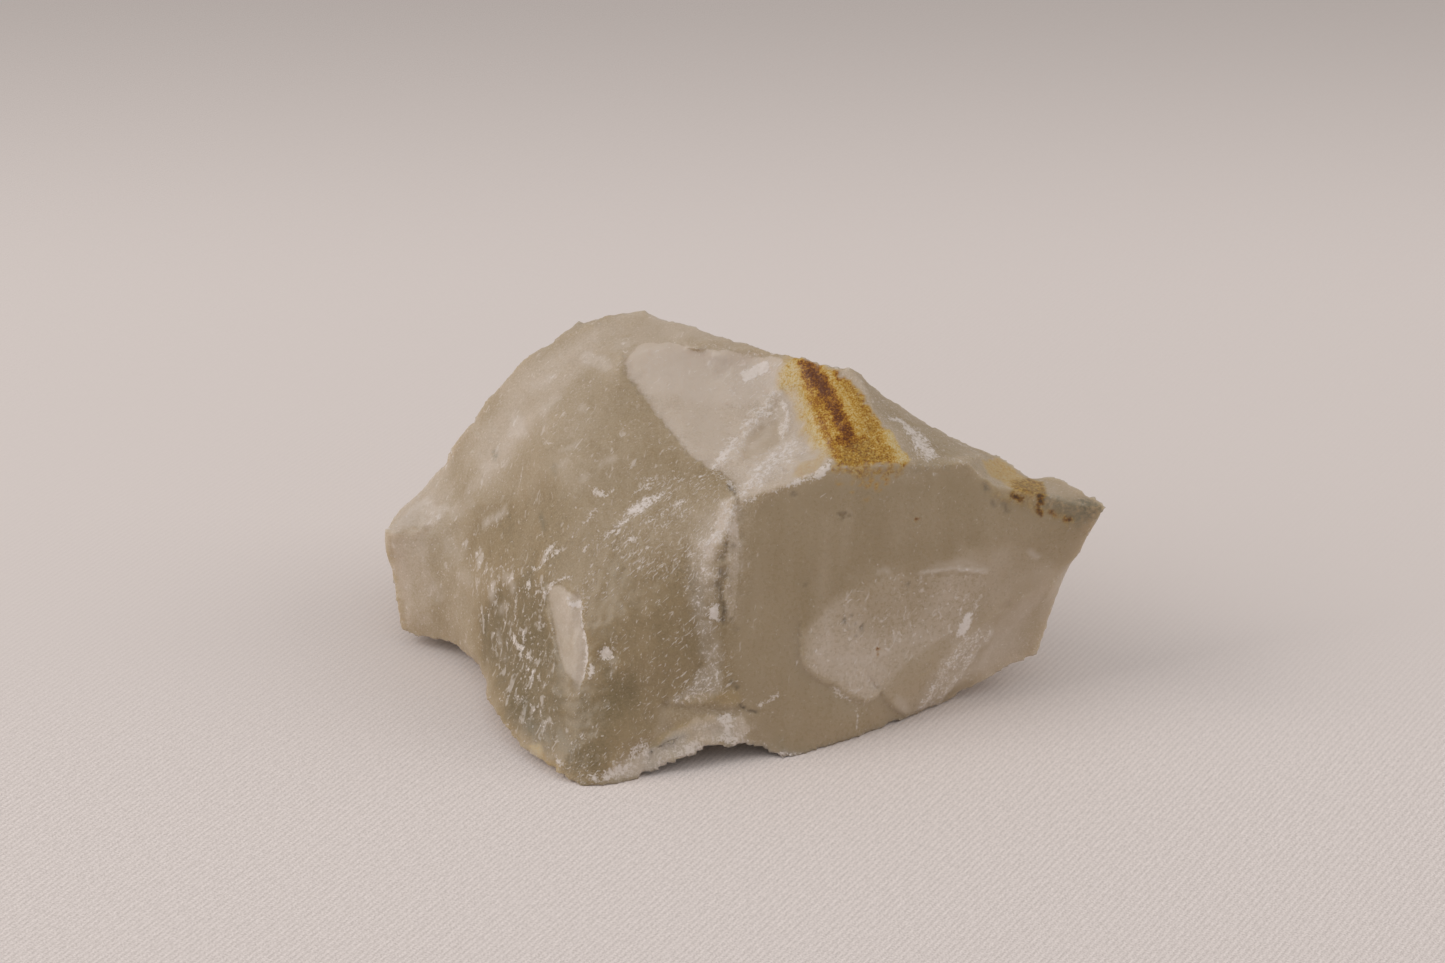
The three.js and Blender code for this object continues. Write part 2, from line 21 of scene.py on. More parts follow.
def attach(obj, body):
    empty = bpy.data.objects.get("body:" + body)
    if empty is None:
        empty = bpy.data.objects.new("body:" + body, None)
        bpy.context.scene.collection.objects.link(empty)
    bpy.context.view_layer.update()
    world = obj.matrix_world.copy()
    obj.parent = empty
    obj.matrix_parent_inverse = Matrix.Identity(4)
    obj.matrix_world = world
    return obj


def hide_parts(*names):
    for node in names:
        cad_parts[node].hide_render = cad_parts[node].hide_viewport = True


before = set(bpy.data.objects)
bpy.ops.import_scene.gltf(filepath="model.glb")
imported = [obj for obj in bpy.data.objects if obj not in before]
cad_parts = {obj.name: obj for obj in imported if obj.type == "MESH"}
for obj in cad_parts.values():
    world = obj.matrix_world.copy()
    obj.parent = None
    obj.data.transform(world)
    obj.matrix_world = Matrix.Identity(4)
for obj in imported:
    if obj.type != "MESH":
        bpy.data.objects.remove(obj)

log = logging.getLogger("specimen")

MM = 0.001
TINY = 1e-12  # keeps a division off zero
MIDDLE = 0.5  # the mean of a Noise node
# The part's source lays the stone out from a point on the ground under its front ridge. Places
# in millimetres are measured from there, and this is where that layout has the frame's origin.
LAYOUT_ORIGIN = np.array([1.873, 27.977, 0.0])
STONE_MIDDLE = np.array([0.0, 28.0, 15.0])

Colour = tuple[float, float, float]
Point = tuple[float, float, float]
Spot = tuple[float, float]
Place = Spot | Point
Row = tuple[tuple[Place, ...], float, float]


class Layer(Enum):
    """What a mark puts on the skin. Each one is stored on the mesh and read by the material.

    Pale and frost are drawn with a crisp border where they pass one half; the rest stay soft.
    """

    # milk is the stone's cloudiness; the marks of painted shade lower it, and a painted glow raises
    # it near the rims
    MILK = "milk"
    PALE = "pale"
    HAZE = "haze"
    FROST = "frost"
    SNOW = "snow"
    FLECK = "fleck"
    IRON = "iron"
    DEPTH_OF_IRON = "iron_depth"
    MOSS = "moss"
    SOOT = "soot"
    POLISH = "polish"
    GRIT = "grit"
    RIM = "rim"


# ---- numbers over points -------------------------------------------------------------------


def smoothstep(low: float, high: float, values: np.ndarray) -> np.ndarray:
    """Rises smoothly from 0 to 1 between two values.

    Args:
        low: value at which the result is 0.
        high: value at which the result is 1; it may be the smaller one.
        values: the numbers to look at.

    Returns:
        An array of the same shape.
    """
    t = np.clip((values - low) / (high - low), 0.0, 1.0)
    return t * t * (3.0 - 2.0 * t)


def unit(vectors: np.ndarray) -> np.ndarray:
    """Vectors of the same directions and of length 1, one per row."""
    return vectors / np.maximum(np.linalg.norm(vectors, axis=1, keepdims=True), TINY)


class Noise:
    """Seeded gradient noise over points, of about -1 to 1."""

    TABLE = 256
    GAIN = 1.6
    OCTAVE_SHIFT = 31.7  # keeps the octaves' cells from lining up

    def __init__(self, seed: int) -> None:
        """Draws the noise's own table of slopes.

        Args:
            seed: each seed is another pattern.
        """
        rng = np.random.default_rng(seed)
        slopes = rng.normal(size=(self.TABLE, 3))
        self.slopes = slopes / np.linalg.norm(slopes, axis=1, keepdims=True)
        self.order = rng.permutation(self.TABLE)

    def __call__(self, points: np.ndarray, size: float) -> np.ndarray:
        """Samples the noise.

        Args:
            points: places, one per row.
            size: how far apart its bumps are.

        Returns:
            One number per point.
        """
        place = points / size
        cell = np.floor(place).astype(int)
        inside = place - cell
        fade = inside**3 * (inside * (inside * 6.0 - 15.0) + 10.0)
        total = np.zeros(len(points))
        for corner in product((0, 1), repeat=3):
            key = np.zeros(len(points), int)
            for axis in range(3):
                key = self.order[(key + cell[:, axis] + corner[axis]) % self.TABLE]
            weight = np.prod(np.where(corner, fade, 1.0 - fade), axis=1)
            total += weight * np.sum((inside - corner) * self.slopes[key], axis=1)
        return total * self.GAIN

    def layered(self, points: np.ndarray, size: float, octaves: int = 3) -> np.ndarray:
        """Several octaves of the noise, each half as large and half as high.

        Args:
            points: places, one per row.
            size: how far apart the largest bumps are.
            octaves: how many layers.

        Returns:
            One number per point.
        """
        layers = [
            self(points + self.OCTAVE_SHIFT * n, size / 2**n) / 2**n for n in range(octaves)
        ]
        return np.sum(layers, axis=0)


# ---- the stone's own layout ----------------------------------------------------------------


@dataclass(frozen=True)
class Facet:
    """One fracture face: its outline, and what its surface is like all over."""

    outline: tuple[Point, ...]
    milk: float
    polish: float
    fleck: float
    grit: float
    snow: float = 0.0
    frost: float = 0.0
    iron: float = 0.0
    iron_depth: float = 0.3

    def paint(self) -> dict[Layer, float]:
        """What the face gives each layer of the skin."""
        return {Layer(name): value for name, value in asdict(self).items() if name != "outline"}


# The outlines repeat corners of the part's source, in millimetres.
WEST = Facet(
    ((-24, 44, 31), (-18, 45, 35), (-9, 45, 38), (-12, 37, 35.5), (-8, 30, 32), (-2, 22, 29),
     (-12, 18, 24), (-19, 14, 18), (-16, 5, 9), (-20, 4, 3), (-27, 20, 4), (-38, 33, 3),
     (-40, 36, 13), (-33, 38, 17), (-29, 42, 26)),
    milk=0.39, polish=0.35, fleck=0.3, grit=0.5, snow=0.5,
)
TOE = Facet(
    ((-11, 18, 24), (-2, 22, 29), (1, 17, 28), (0, 12, 22), (0, 9, 15), (2, 6, 6), (-6, 5, 7),
     (-15, 0, 0), (-15, 5, 9), (-18, 14, 18)),
    milk=0.0, polish=0.4, fleck=1.0, grit=0.7, snow=0.4,
)
BLOCK_TOP = Facet(
    ((-39.5, 36, 13.5), (-34, 35, 14.5), (-31.5, 36, 16.5), (-33, 43, 19), (-38, 42, 13.5)),
    milk=0.8, polish=0.2, fleck=0.2, grit=0.5, snow=0.6,
)
DOME = Facet(
    ((-9, 45, 38), (-13, 39, 35.5), (-11, 37, 35.5), (-4, 36, 37), (5, 35, 36), (-3, 41, 37.5)),
    milk=0.78, polish=0.4, fleck=0.1, grit=0.25, snow=0.3,
)
BENCH = Facet(
    ((-11, 37, 35.5), (-8, 30, 32), (-2, 22, 29), (1, 18, 28.5), (4, 16, 28), (8, 16.5, 29.5),
     (12, 18, 30.5), (8, 34, 36.5), (5, 35, 36), (-4, 36, 37)),
    milk=0.36, polish=0.5, fleck=0.3, grit=0.4, snow=0.4,
)
BAND = Facet(
    ((7.5, 34, 36.7), (12.5, 18, 30.5), (20.5, 19.5, 30), (14, 30, 37.4), (11, 31, 38)),
    milk=0.8, polish=0.25, fleck=0.2, grit=1.0,
)
SLOPE = Facet(
    ((14, 30, 37), (20.5, 19.5, 30), (27, 21.5, 29), (30, 29.5, 27), (22, 30, 30), (16, 31, 35)),
    milk=0.3, polish=0.4, fleck=0.6, grit=0.7, snow=0.4, frost=0.1,
)
POCKET = Facet(
    ((30, 29, 27), (27, 21.5, 29), (30, 20.5, 27), (36, 21, 25.5), (35, 26.5, 25.5)),
    milk=0.6, polish=0.3, fleck=0.3, grit=0.9, iron=0.14, iron_depth=0.2,
)
TIP = Facet(
    ((35, 26.5, 25.4), (36, 21, 25.5), (43, 22, 23.5), (38.5, 27, 25.4)),
    milk=0.42, polish=0.5, fleck=0.2, grit=0.3,
)
SOUTH = Facet(
    ((3.8, 16, 28.3), (1.5, 10, 15), (2, 6.5, 6), (7, 6, 0), (20, 14, 0), (27, 20, 0.5),
     (30, 18, 8), (40.5, 22.5, 17.5), (43, 22, 23.5), (30, 20.5, 27), (27, 21.5, 29.3),
     (12.5, 18, 30.5), (8, 16.5, 29.5)),
    milk=0.20, polish=1.0, fleck=0.02, grit=0.08,
)
RIDGE = Facet(
    ((1.5, 15.5, 28), (-0.5, 12, 22), (0, 9.5, 15), (1.5, 10, 15.2), (3.8, 16, 28.3)),
    milk=0.3, polish=0.3, fleck=0.6, grit=1.0, frost=0.1,
)
LEDGE = Facet(
    ((-15, 0, 0), (-8, 2, 0), (0, 5, 2.5), (4.5, 6.5, 0.5), (2, 6.5, 6), (-6, 5, 7.5),
     (-9.5, 2.5, 4.5)),
    milk=0.3, polish=0.25, fleck=0.8, grit=1.0, iron=0.1, iron_depth=0.2,
)
UNDERCUT = Facet(
    ((30, 18, 8), (27, 20, 0.4), (30, 20.5, 2.5), (36, 23, 4), (37, 24, 6), (38, 23.5, 11),
     (40.5, 22.5, 17.5)),
    milk=0.6, polish=0.6, fleck=0.2, grit=0.3,
)
BACK_LEFT = Facet(
    ((-31, 50, 13), (-33, 43, 19), (-28, 43, 27), (-20, 45, 33), (-17, 52, 33), (-20, 56, 20)),
    milk=0.5, polish=0.4, fleck=0.6, grit=0.5, snow=0.8,
)
BACK_MID = Facet(
    ((-17, 52, 33), (-9, 45, 38), (5, 35, 36), (10, 47, 21), (13, 50, 13), (-3, 56, 16),
     (-20, 56, 20)),
    milk=0.35, polish=0.7, fleck=0.2, grit=0.3, snow=0.4,
)
BACK_RIGHT = Facet(
    ((10, 47, 21), (5, 35, 36), (11, 31, 38), (30, 29, 27), (43, 22, 23), (39, 27, 12),
     (28, 38, 10), (13, 50, 13)),
    milk=0.45, polish=0.5, fleck=0.5, grit=0.4, snow=0.5,
)
BACK_LOW = Facet(
    ((-28, 51, 4), (-31, 50, 13), (-20, 56, 20), (-3, 56, 16), (13, 50, 13), (28, 38, 10),
     (39, 27, 12), (33, 32, 5), (22, 42.5, 4.5), (-13, 55, 5)),
    milk=0.45, polish=0.3, fleck=0.8, grit=0.7, snow=0.6,
)
FACETS = (
    WEST, TOE, BLOCK_TOP, DOME, BENCH, BAND, SLOPE, POCKET, TIP, SOUTH, RIDGE, LEDGE, UNDERCUT,
    BACK_LEFT, BACK_MID, BACK_RIGHT, BACK_LOW,
)


@dataclass(frozen=True)
class Viewpoint:
    """Where the stone is seen from: the camera's own place, and the way to any spot of its image.

    Lengths are in millimetres. A spot is a column and a row of the image, in pixels from its top
    left corner.
    """

    image_width: int = 1445
    image_height: int = 963
    lens: float = 100.0
    sensor: float = 36.0
    elevation: float = 26.0
    reach: float = 442.0
    ground_row: float = 787.0

    def lens_pixels(self) -> float:
        """The lens's length on the scale of the image."""
        return self.lens / self.sensor * self.image_width

    def place(self) -> np.ndarray:
        """The camera's place, from which the layout's own ground point lies at the ground row.

        Returns:
            The place in the layout.
        """
        drop = math.atan((self.ground_row - self.image_height / 2) / self.lens_pixels())
        line = math.radians(self.elevation) + drop
        distance = self.reach / math.cos(drop)
        return np.array([0.0, -distance * math.cos(line), distance * math.sin(line)])

    def way_to(self, spot: Spot) -> np.ndarray:
        """The direction in which a spot of the image is seen.

        Args:
            spot: column and row.

        Returns:
            A vector of length one in the layout's axes.
        """
        column, row = spot
        tilt = math.radians(self.elevation)
        rightward = np.array([1.0, 0.0, 0.0])
        forward = np.array([0.0, math.cos(tilt), -math.sin(tilt)])
        upward = np.array([0.0, math.sin(tilt), math.cos(tilt)])
        across = (column - self.image_width / 2) / self.lens_pixels()
        down = (row - self.image_height / 2) / self.lens_pixels()
        way = rightward * across + forward - upward * down
        return way / np.linalg.norm(way)


VIEWPOINT = Viewpoint()


@dataclass(frozen=True)
class Mark:
    """One feature of the skin: a streak along a line of points, or a patch inside an outline.

    A point is a spot of the viewpoint's image, which is laid on the stone that is seen there, or
    three coordinates in the layout, on a side that the viewpoint doesn't see.

    Paint holds the strength that each layer takes under it. Its border is as soft as soft says,
    and strays by ragged in bumps of the size of grain. Height lifts the skin, and patchy is the
    share of the mark that is taken out again in holes.
    """

    points: tuple[Place, ...]
    paint: dict[Layer, float] = field(default_factory=dict)
    width: float = 1.0
    soft: float = 0.5
    ragged: float = 0.3
    grain: float = 1.5
    height: float = 0.0
    closed: bool = False
    one_sided: bool = False
    patchy: float = 0.0


def make_mark(points: tuple[Place, ...], traits: dict[str, float], **habits: object) -> Mark:
    """Makes a mark of any kind.

    Args:
        points: its line or outline.
        traits: strengths by the name of a layer, and the mark's own fields by theirs.
        habits: fields that this kind of mark has unless its traits say otherwise.

    Returns:
        The mark.
    """
    names = {layer.value for layer in Layer}
    paint = {Layer(name): value for name, value in traits.items() if name in names}
    fields = {name: value for name, value in traits.items() if name not in names}
    return Mark(points=points, paint=paint, **{**habits, **fields})


def streak(*points: Place, **traits: float) -> Mark:
    """A mark that runs along a line of points; its width is half its breadth."""
    return make_mark(points, traits)


def step_down(*points: Place, **traits: float) -> Mark:
    """A small cliff: sharp at the line, fading out over its width on the line's left side."""
    return make_mark(points, traits, one_sided=True, soft=0.2)


def patch(*points: Place, **traits: float) -> Mark:
    """A mark that fills the outline through the points."""
    return make_mark(points, traits, closed=True, width=0.0)


def streaks(layer: str, *rows: Row, **traits: float) -> tuple[Mark, ...]:
    """Streaks that differ only in their line, in their strength on one layer and in width.

    Args:
        layer: the name of that layer.
        rows: line, strength and width of each.
        traits: what they share.

    Returns:
        The marks.
    """
    return tuple(
        streak(*line, **{layer: strength}, width=width, **traits) for line, strength, width in rows
    )


# Lines that several marks share, as spots of the viewpoint's image.
BENCH_CLIFF = (
    (624, 362), (628, 378), (636, 385), (643, 396), (650, 405), (656, 414), (663, 423), (670, 432),
    (677, 440), (682, 446), (688, 452), (692, 456), (697, 459), (703, 461), (704, 467), (712, 470),
    (722, 472), (730, 478), (735, 485), (737, 497),
)
SOUTH_RIM = (
    (740, 503), (755, 500), (760, 494), (775, 493), (790, 485), (800, 479), (815, 472), (829, 464),
)
SCAR_TOP = (
    (925, 574), (895, 570), (865, 581), (842, 593), (825, 605), (809, 624),
)
SCAR_SIDE = (
    (802, 640), (802, 655), (805, 667), (815, 676), (822, 681), (835, 686), (841, 691), (850, 697),
    (860, 700), (868, 703), (876, 699), (882, 692),
)
SCAR_FOOT = (
    (887, 700), (893, 708), (900, 712),
)
CHIP_LIP = (
    (580, 610), (579, 625), (583, 632), (585, 645), (586, 660), (583, 672), (580, 684),
)

# Clearer and cloudier ground: big soft patches, and the crisp outlines between them. The dark
# patches low on the toe and the west face are painted shade.
TONES = (
    # the dark part of the toe, and the darker strip along the bench; low on the toe and the west
    # face, near the ground, the darkening is painted shade
    patch(
        (470, 505), (540, 485), (610, 500), (628, 540), (600, 570), (560, 580), (500, 580),
        (465, 560),
        milk=0.05, soft=4.0, ragged=1.0, grain=4.0,
    ),
    # painted shade: the low toe is painted clearer and darker, where less light reaches near the
    # ground
    patch(
        (590, 590), (610, 560), (650, 578), (700, 592), (722, 640), (696, 674), (658, 722),
        (640, 748), (608, 766), (584, 760), (580, 700), (588, 650),
        milk=-0.02, polish=0.7, grit=0.2, fleck=0.7, soft=2.4, ragged=0.8, grain=4.0,
    ),
    # painted shade, carried across the fold down to the ground
    patch(
        (578, 690), (596, 630), (626, 630), (630, 690), (615, 750), (600, 768), (582, 762),
        (572, 720),
        milk=-0.14, fleck=0.6, soft=3.0, ragged=0.6, grain=3.0,
    ),
    patch(
        (625, 425), (672, 445), (700, 468), (728, 488), (705, 520), (640, 530), (590, 520),
        (578, 480), (600, 445),
        milk=0.2, soft=5.0, ragged=0.8, grain=4.0,
    ),
    # painted shade: the low west face is painted clearer and darker, where less light reaches near
    # the ground
    patch(
        (505, 568), (548, 582), (578, 690), (592, 770), (545, 755), (505, 722), (480, 660),
        (474, 610),
        milk=-0.22, polish=0.8, grit=0.2, soft=5.0, ragged=1.4, grain=5.0,
    ),
    patch(
        (470, 545), (545, 560), (556, 680), (562, 765), (482, 640),
        snow=1.1, fleck=0.25, soft=4.0, ragged=1.0, grain=4.0,
    ),
    patch(
        (384, 535), (422, 525), (431, 560), (436, 626), (420, 628), (405, 622),
        milk=0.72, soft=2.0, ragged=1.0, grain=4.0,
    ),
    patch(
        (386, 545), (392, 532), (410, 560), (415, 600), (408, 620),
        milk=0.95, soft=2.4, ragged=1.0, grain=4.0,
    ),
    patch(
        (470, 430), (640, 305), (600, 365), (545, 425.1), (485, 480),
        milk=0.78, soft=6.0, ragged=1.0, grain=5.0,
    ),
    # the bench
    patch(
        *BENCH_CLIFF, *SOUTH_RIM, (826, 440), (812, 400), (797, 362),
        (770, 356), (735, 352), (700, 348), (668, 343), (640, 344),
        pale=1.0, fleck=0.2, snow=0.3, soft=0.8, grain=1.3,
    ),
    patch(
        (636, 350), (660, 345), (738, 350), (797, 362), (806, 400), (775, 388), (745, 405),
        (700, 400), (648, 392),
        milk=0.6, haze=0.26, soft=2.0, ragged=0.6, grain=2.0,
    ),
    patch(
        (640, 478), (705, 480), (730, 500), (712, 540), (668, 548), (640, 525),
        milk=0.3, fleck=1.3, soft=3.0, ragged=0.8, grain=2.0,
    ),
    # the scar on the south face, with its lip and its dark wedge
    patch(
        *SCAR_TOP, *SCAR_SIDE, *SCAR_FOOT, (908, 715), (935, 700), (965, 680),
        (1010, 664), (1030, 640), (1045, 600), (1048, 572), (1030, 560), (1000, 558), (960, 557),
        milk=0.54, soft=1.2, ragged=0.25, grain=1.6,
    ),
    patch(
        *SCAR_TOP, *SCAR_SIDE, (893, 684), (905, 669), (935, 646),
        (956, 637), (968, 612), (985, 590), (990, 574), (955, 571),
        pale=0.52, snow=0.7, fleck=0.3, soft=1.3, ragged=0.25, grain=1.2,
    ),
    patch(
        (960, 545), (1048, 540), (1060, 575), (1040, 600), (1000, 600), (975, 585),
        milk=0.6, soft=2.0, ragged=0.4, grain=2.0,
    ),
    patch(
        (806, 640), (808, 660), (838, 682), (868, 697), (886, 680), (880, 650), (860, 635),
        (830, 630),
        milk=0.74, soft=3.0, ragged=0.8, grain=2.0,
    ),
    patch(
        (846, 578), (890, 560), (940, 562), (935, 608), (890, 632), (858, 612),
        milk=0.34, soft=3.0, ragged=1.0, grain=2.5,
    ),
    patch(
        (958, 684), (985, 650), (1008, 612), (1045, 588), (1020, 662),
        milk=0.8, soft=2.5, ragged=0.6, grain=2.0,
    ),
    patch(
        (905, 669), (920, 660), (935, 646), (945, 638), (956, 637), (950, 650), (941, 662),
        (936, 674), (926, 690), (921, 704), (908, 710), (898, 704), (892, 694), (893, 682),
        pale=0.1, milk=0.5, soft=0.7, ragged=0.2,
    ),
    patch(
        (833, 685), (838, 697), (850, 701), (866, 705), (850, 697), (841, 691),
        frost=0.62, iron=0.2, iron_depth=0.15, ragged=0.1,
    ),
    patch(
        (726, 540), (737, 507), (741, 540), (739, 580), (735, 606), (733, 617), (726, 624),
        (722, 612), (724, 575),
        pale=0.8, soft=0.7, ragged=0.1,
    ),
)

# The bench: its jagged cliff, crushed diagonals and smooth panels.
BENCH_WORK = (
    step_down(*BENCH_CLIFF, haze=0.12, width=2.8, soft=0.3, ragged=0.45, grain=1.0, height=-0.3),
    patch(
        (700, 350), (770, 358), (797, 362), (812, 400), (826, 440), (829, 464), (800, 479),
        (760, 494), (740, 500), (712, 470), (735, 420),
        fleck=0.9, grit=0.9, snow=0.4, soft=4.0, ragged=0.8, grain=2.0,
    ),
    patch(
        (690, 352), (738, 352), (740, 378), (700, 382),
        haze=0.22, soft=0.7,
    ),
    patch(
        (712, 353), (733, 354), (729, 366), (714, 362),
        haze=0.5, soft=0.6,
    ),
    streak(
        (747, 376), (755, 372), (763, 367),
        frost=1.0, polish=0.1, width=0.7, soft=0.6, ragged=0.25,
    ),
    streak(
        (775, 392), (762, 410), (747, 432), (731, 454), (718, 464),
        frost=0.46, haze=0.4, width=0.75, soft=1.2, ragged=0.8, grain=1.2, height=0.2, patchy=0.6,
    ),
    streak(
        (782, 384), (771, 400), (757, 418),
        frost=0.5, haze=0.3, width=0.3, soft=0.7, ragged=0.6, grain=1.0, height=0.12, patchy=0.6,
    ),
    streak(
        (735, 440), (728, 450), (722, 458),
        frost=0.8, width=0.5, soft=1.0, ragged=0.5,
    ),
    streak(
        (742, 428), (756, 419), (772, 414),
        frost=0.75, width=0.25, soft=0.7, ragged=0.4, height=0.1,
    ),
    patch(
        (745, 440), (760, 426), (779, 420), (780, 440), (765, 452), (742, 461),
        pale=0.8, frost=0.0, haze=0.0, fleck=0.0, grit=0.2, iron=0.16, iron_depth=0.3, soft=0.6,
        ragged=0.2, height=-0.15,
    ),
    patch(
        (797, 436), (806, 452), (788, 462), (768, 482), (748, 494), (742, 492), (748, 474),
        (760, 462), (778, 447),
        frost=0.42, haze=0.55, soft=1.3, ragged=0.9, grain=1.3, height=0.14, patchy=0.4,
    ),
    streak(
        (787, 447), (768, 461), (752, 480), (744, 492),
        frost=0.62, haze=0.5, width=0.4, soft=0.9, ragged=0.7, grain=1.0, height=0.15, patchy=0.6,
    ),
    streak(
        (799, 440), (783, 452), (770, 468), (757, 486),
        frost=0.55, haze=0.4, width=0.28, soft=0.8, ragged=0.6, grain=0.9, height=0.1, patchy=0.5,
    ),
    streak(
        (764, 398), (748, 417), (736, 436),
        frost=0.5, haze=0.3, width=0.2, soft=0.6, ragged=0.6, patchy=0.5,
    ),
    streak(
        (790, 400), (772, 424), (752, 446),
        haze=0.5, width=0.25, soft=0.8, ragged=0.6, patchy=0.5,
    ),
    streak(
        (742, 492), (727, 480), (712, 468),
        frost=0.6, width=0.4, soft=0.9, ragged=0.5, patchy=0.3,
    ),
    streak(
        (783, 404), (788, 420), (784, 436),
        frost=0.85, width=0.4, soft=0.7, ragged=0.5, height=0.12,
    ),
    streak(
        (776, 412), (783, 424), (781, 440),
        frost=0.6, width=0.3, soft=0.7, ragged=0.5, patchy=0.4,
    ),
    streak(
        (800, 388), (806, 410), (803, 432),
        frost=0.6, width=0.5, soft=1.2, ragged=0.5, patchy=0.3,
    ),
    patch(
        (800, 462), (826, 457), (822, 468), (802, 479), (790, 478),
        pale=0.8, frost=0.0, haze=0.0, fleck=0.0, grit=0.2, iron=0.36, iron_depth=0.3, soft=0.7,
        ragged=0.2,
    ),
    streak(
        (831, 459), (828, 468), (818, 476), (804, 481),
        frost=0.9, width=0.2,
    ),
    streak(*SOUTH_RIM, frost=0.8, width=0.22, soft=0.6, ragged=0.4, patchy=0.3),
    streak(
        (729, 484), (733, 491), (737, 497),
        soot=0.5, width=0.14, soft=0.25, ragged=0.15, height=-0.2,
    ),
)

# The front ridge: crushed white powder, and the pitted crack beside it.
RIDGE_WORK = (
    patch(
        (738, 499), (737, 512), (733, 525), (724, 536), (715, 548), (711, 560), (708, 574),
        (702, 575.9), (700, 560), (700, 546), (706, 537), (712, 527), (716, 515), (722, 505),
        (730, 501),
        frost=0.38, haze=0.36, milk=0.9, polish=0.1, soft=1.8, ragged=0.7, grain=1.2, height=0.1,
    ),
    patch(
        (735, 500), (702, 515), (690, 545), (688, 580), (702, 605), (714, 600), (714, 560),
        (735, 520),
        haze=0.3, soft=2.4, ragged=0.8, grain=2.0,
    ),
    streak(
        (705, 575), (700, 598), (706, 625), (712, 650),
        frost=0.24, haze=0.5, width=0.9, soft=1.6, ragged=0.8, patchy=0.5,
    ),
    patch(
        (711, 608), (718, 603), (720, 612), (718, 620), (711, 618),
        frost=1.0, polish=0.1, soft=0.6, ragged=0.2,
    ),
    patch(
        (670, 702), (685, 690), (700, 672), (720, 656), (722, 690), (702, 702),
        frost=0.34, haze=0.5, soft=1.1, ragged=0.4, grain=1.0, patchy=0.2,
    ),
    streak((741, 540), (737, 592), (733, 620), haze=0.45, width=0.12),
    streak(
        (727, 544), (722, 562), (723, 576), (719, 586), (721, 602), (724, 620),
        soot=0.1, pale=0.2, width=0.4, soft=0.6, ragged=0.4, grain=0.7, height=-0.3, patchy=0.5,
    ),
)

# Scrapes, bruises and chips of the toe and west faces.
SCRAPES = (
    patch(
        (620, 520), (626, 512), (632, 505), (642, 498), (655, 495), (664, 490), (667, 495),
        (655, 503), (645, 510), (635, 516), (625, 523), (618, 529), (614, 526),
        frost=0.75, haze=0.3, soft=1.1, ragged=0.35, grain=1.0, height=-0.1,
    ),
    patch(
        (630, 494), (636, 489), (645, 484), (656, 482), (652, 488), (640, 493),
        frost=0.66, soft=0.6, ragged=0.2,
    ),
    streak(
        (642, 481), (665, 478), (690, 477),
        frost=0.52, width=0.2, soft=0.6, patchy=0.4,
    ),
    streak(
        (650, 521), (668, 510), (686, 500),
        frost=0.66, width=0.3, soft=0.7, ragged=0.4, patchy=0.3,
    ),
    streak(
        (655, 530), (675, 517), (692, 508),
        frost=0.58, width=0.35, soft=0.8, ragged=0.5, patchy=0.4,
    ),
    streak((614, 530), (604, 535), (594, 540), frost=0.6, width=0.2),
    streak(
        (572, 537), (590, 516), (603, 504),
        frost=0.6, width=0.22, soft=0.6, ragged=0.35, patchy=0.5,
    ),
    patch(
        (543, 555), (548, 545), (557, 542), (553, 551), (546, 556),
        frost=0.75, soft=0.6, ragged=0.2,
    ),
    streak(
        (546, 561), (553, 555), (561, 549),
        frost=0.75, width=0.25, ragged=0.25,
    ),
    streak((534, 570), (541, 567), frost=0.65, width=0.2, soft=0.4),
    streak((583, 552), (588, 546), frost=0.75, width=0.25, soft=0.4, ragged=0.2),
    streak((629, 538), (635, 538), frost=0.75, width=0.3, soft=0.4, ragged=0.2),
    streak((595, 492), (602, 494), frost=0.85, width=0.4, soft=0.6, ragged=0.25),
    streak((605, 497), (613, 490), frost=0.6, width=0.2, ragged=0.2),
    patch(
        (599, 650), (605, 647), (612, 650), (612, 658), (604, 661), (600, 656),
        frost=1.0, polish=0.1, ragged=0.2, grain=0.9, height=-0.2,
    ),
    patch(
        (586, 668), (592, 663), (595, 670), (589, 680),
        frost=0.7, ragged=0.25,
    ),
    # the long chip on the fold
    patch(
        (545, 583), (552, 585), (560, 583), (566, 590),
        (573, 594), (580, 596), *CHIP_LIP, (574, 684), (565, 672),
        (558, 655), (555, 635), (552, 612), (547, 598),
        pale=1.0, haze=0.3, fleck=0.0, snow=0.0, soft=0.6, ragged=0.12, grain=1.0, height=-0.2,
    ),
    step_down(
        *reversed(CHIP_LIP), (580, 597),
        haze=0.6, width=1.6, ragged=0.1, height=-0.45,
    ),
    streak(
        (579, 606), (581, 627.9), (585, 648), (584, 664), (581, 678),
        frost=0.9, width=0.25, soft=0.7, grain=0.8,
    ),
    streak(
        (566, 598), (572, 604), (578, 602),
        frost=0.75, width=0.3, soft=0.6,
    ),
    streak(
        (546, 590), (552, 583), (562, 579), (570, 577),
        frost=0.8, width=0.25,
    ),
    streak(
        (551, 604), (555, 628), (560, 652),
        haze=0.2, width=0.3, soft=0.3, ragged=0.2, height=-0.1,
    ),
)

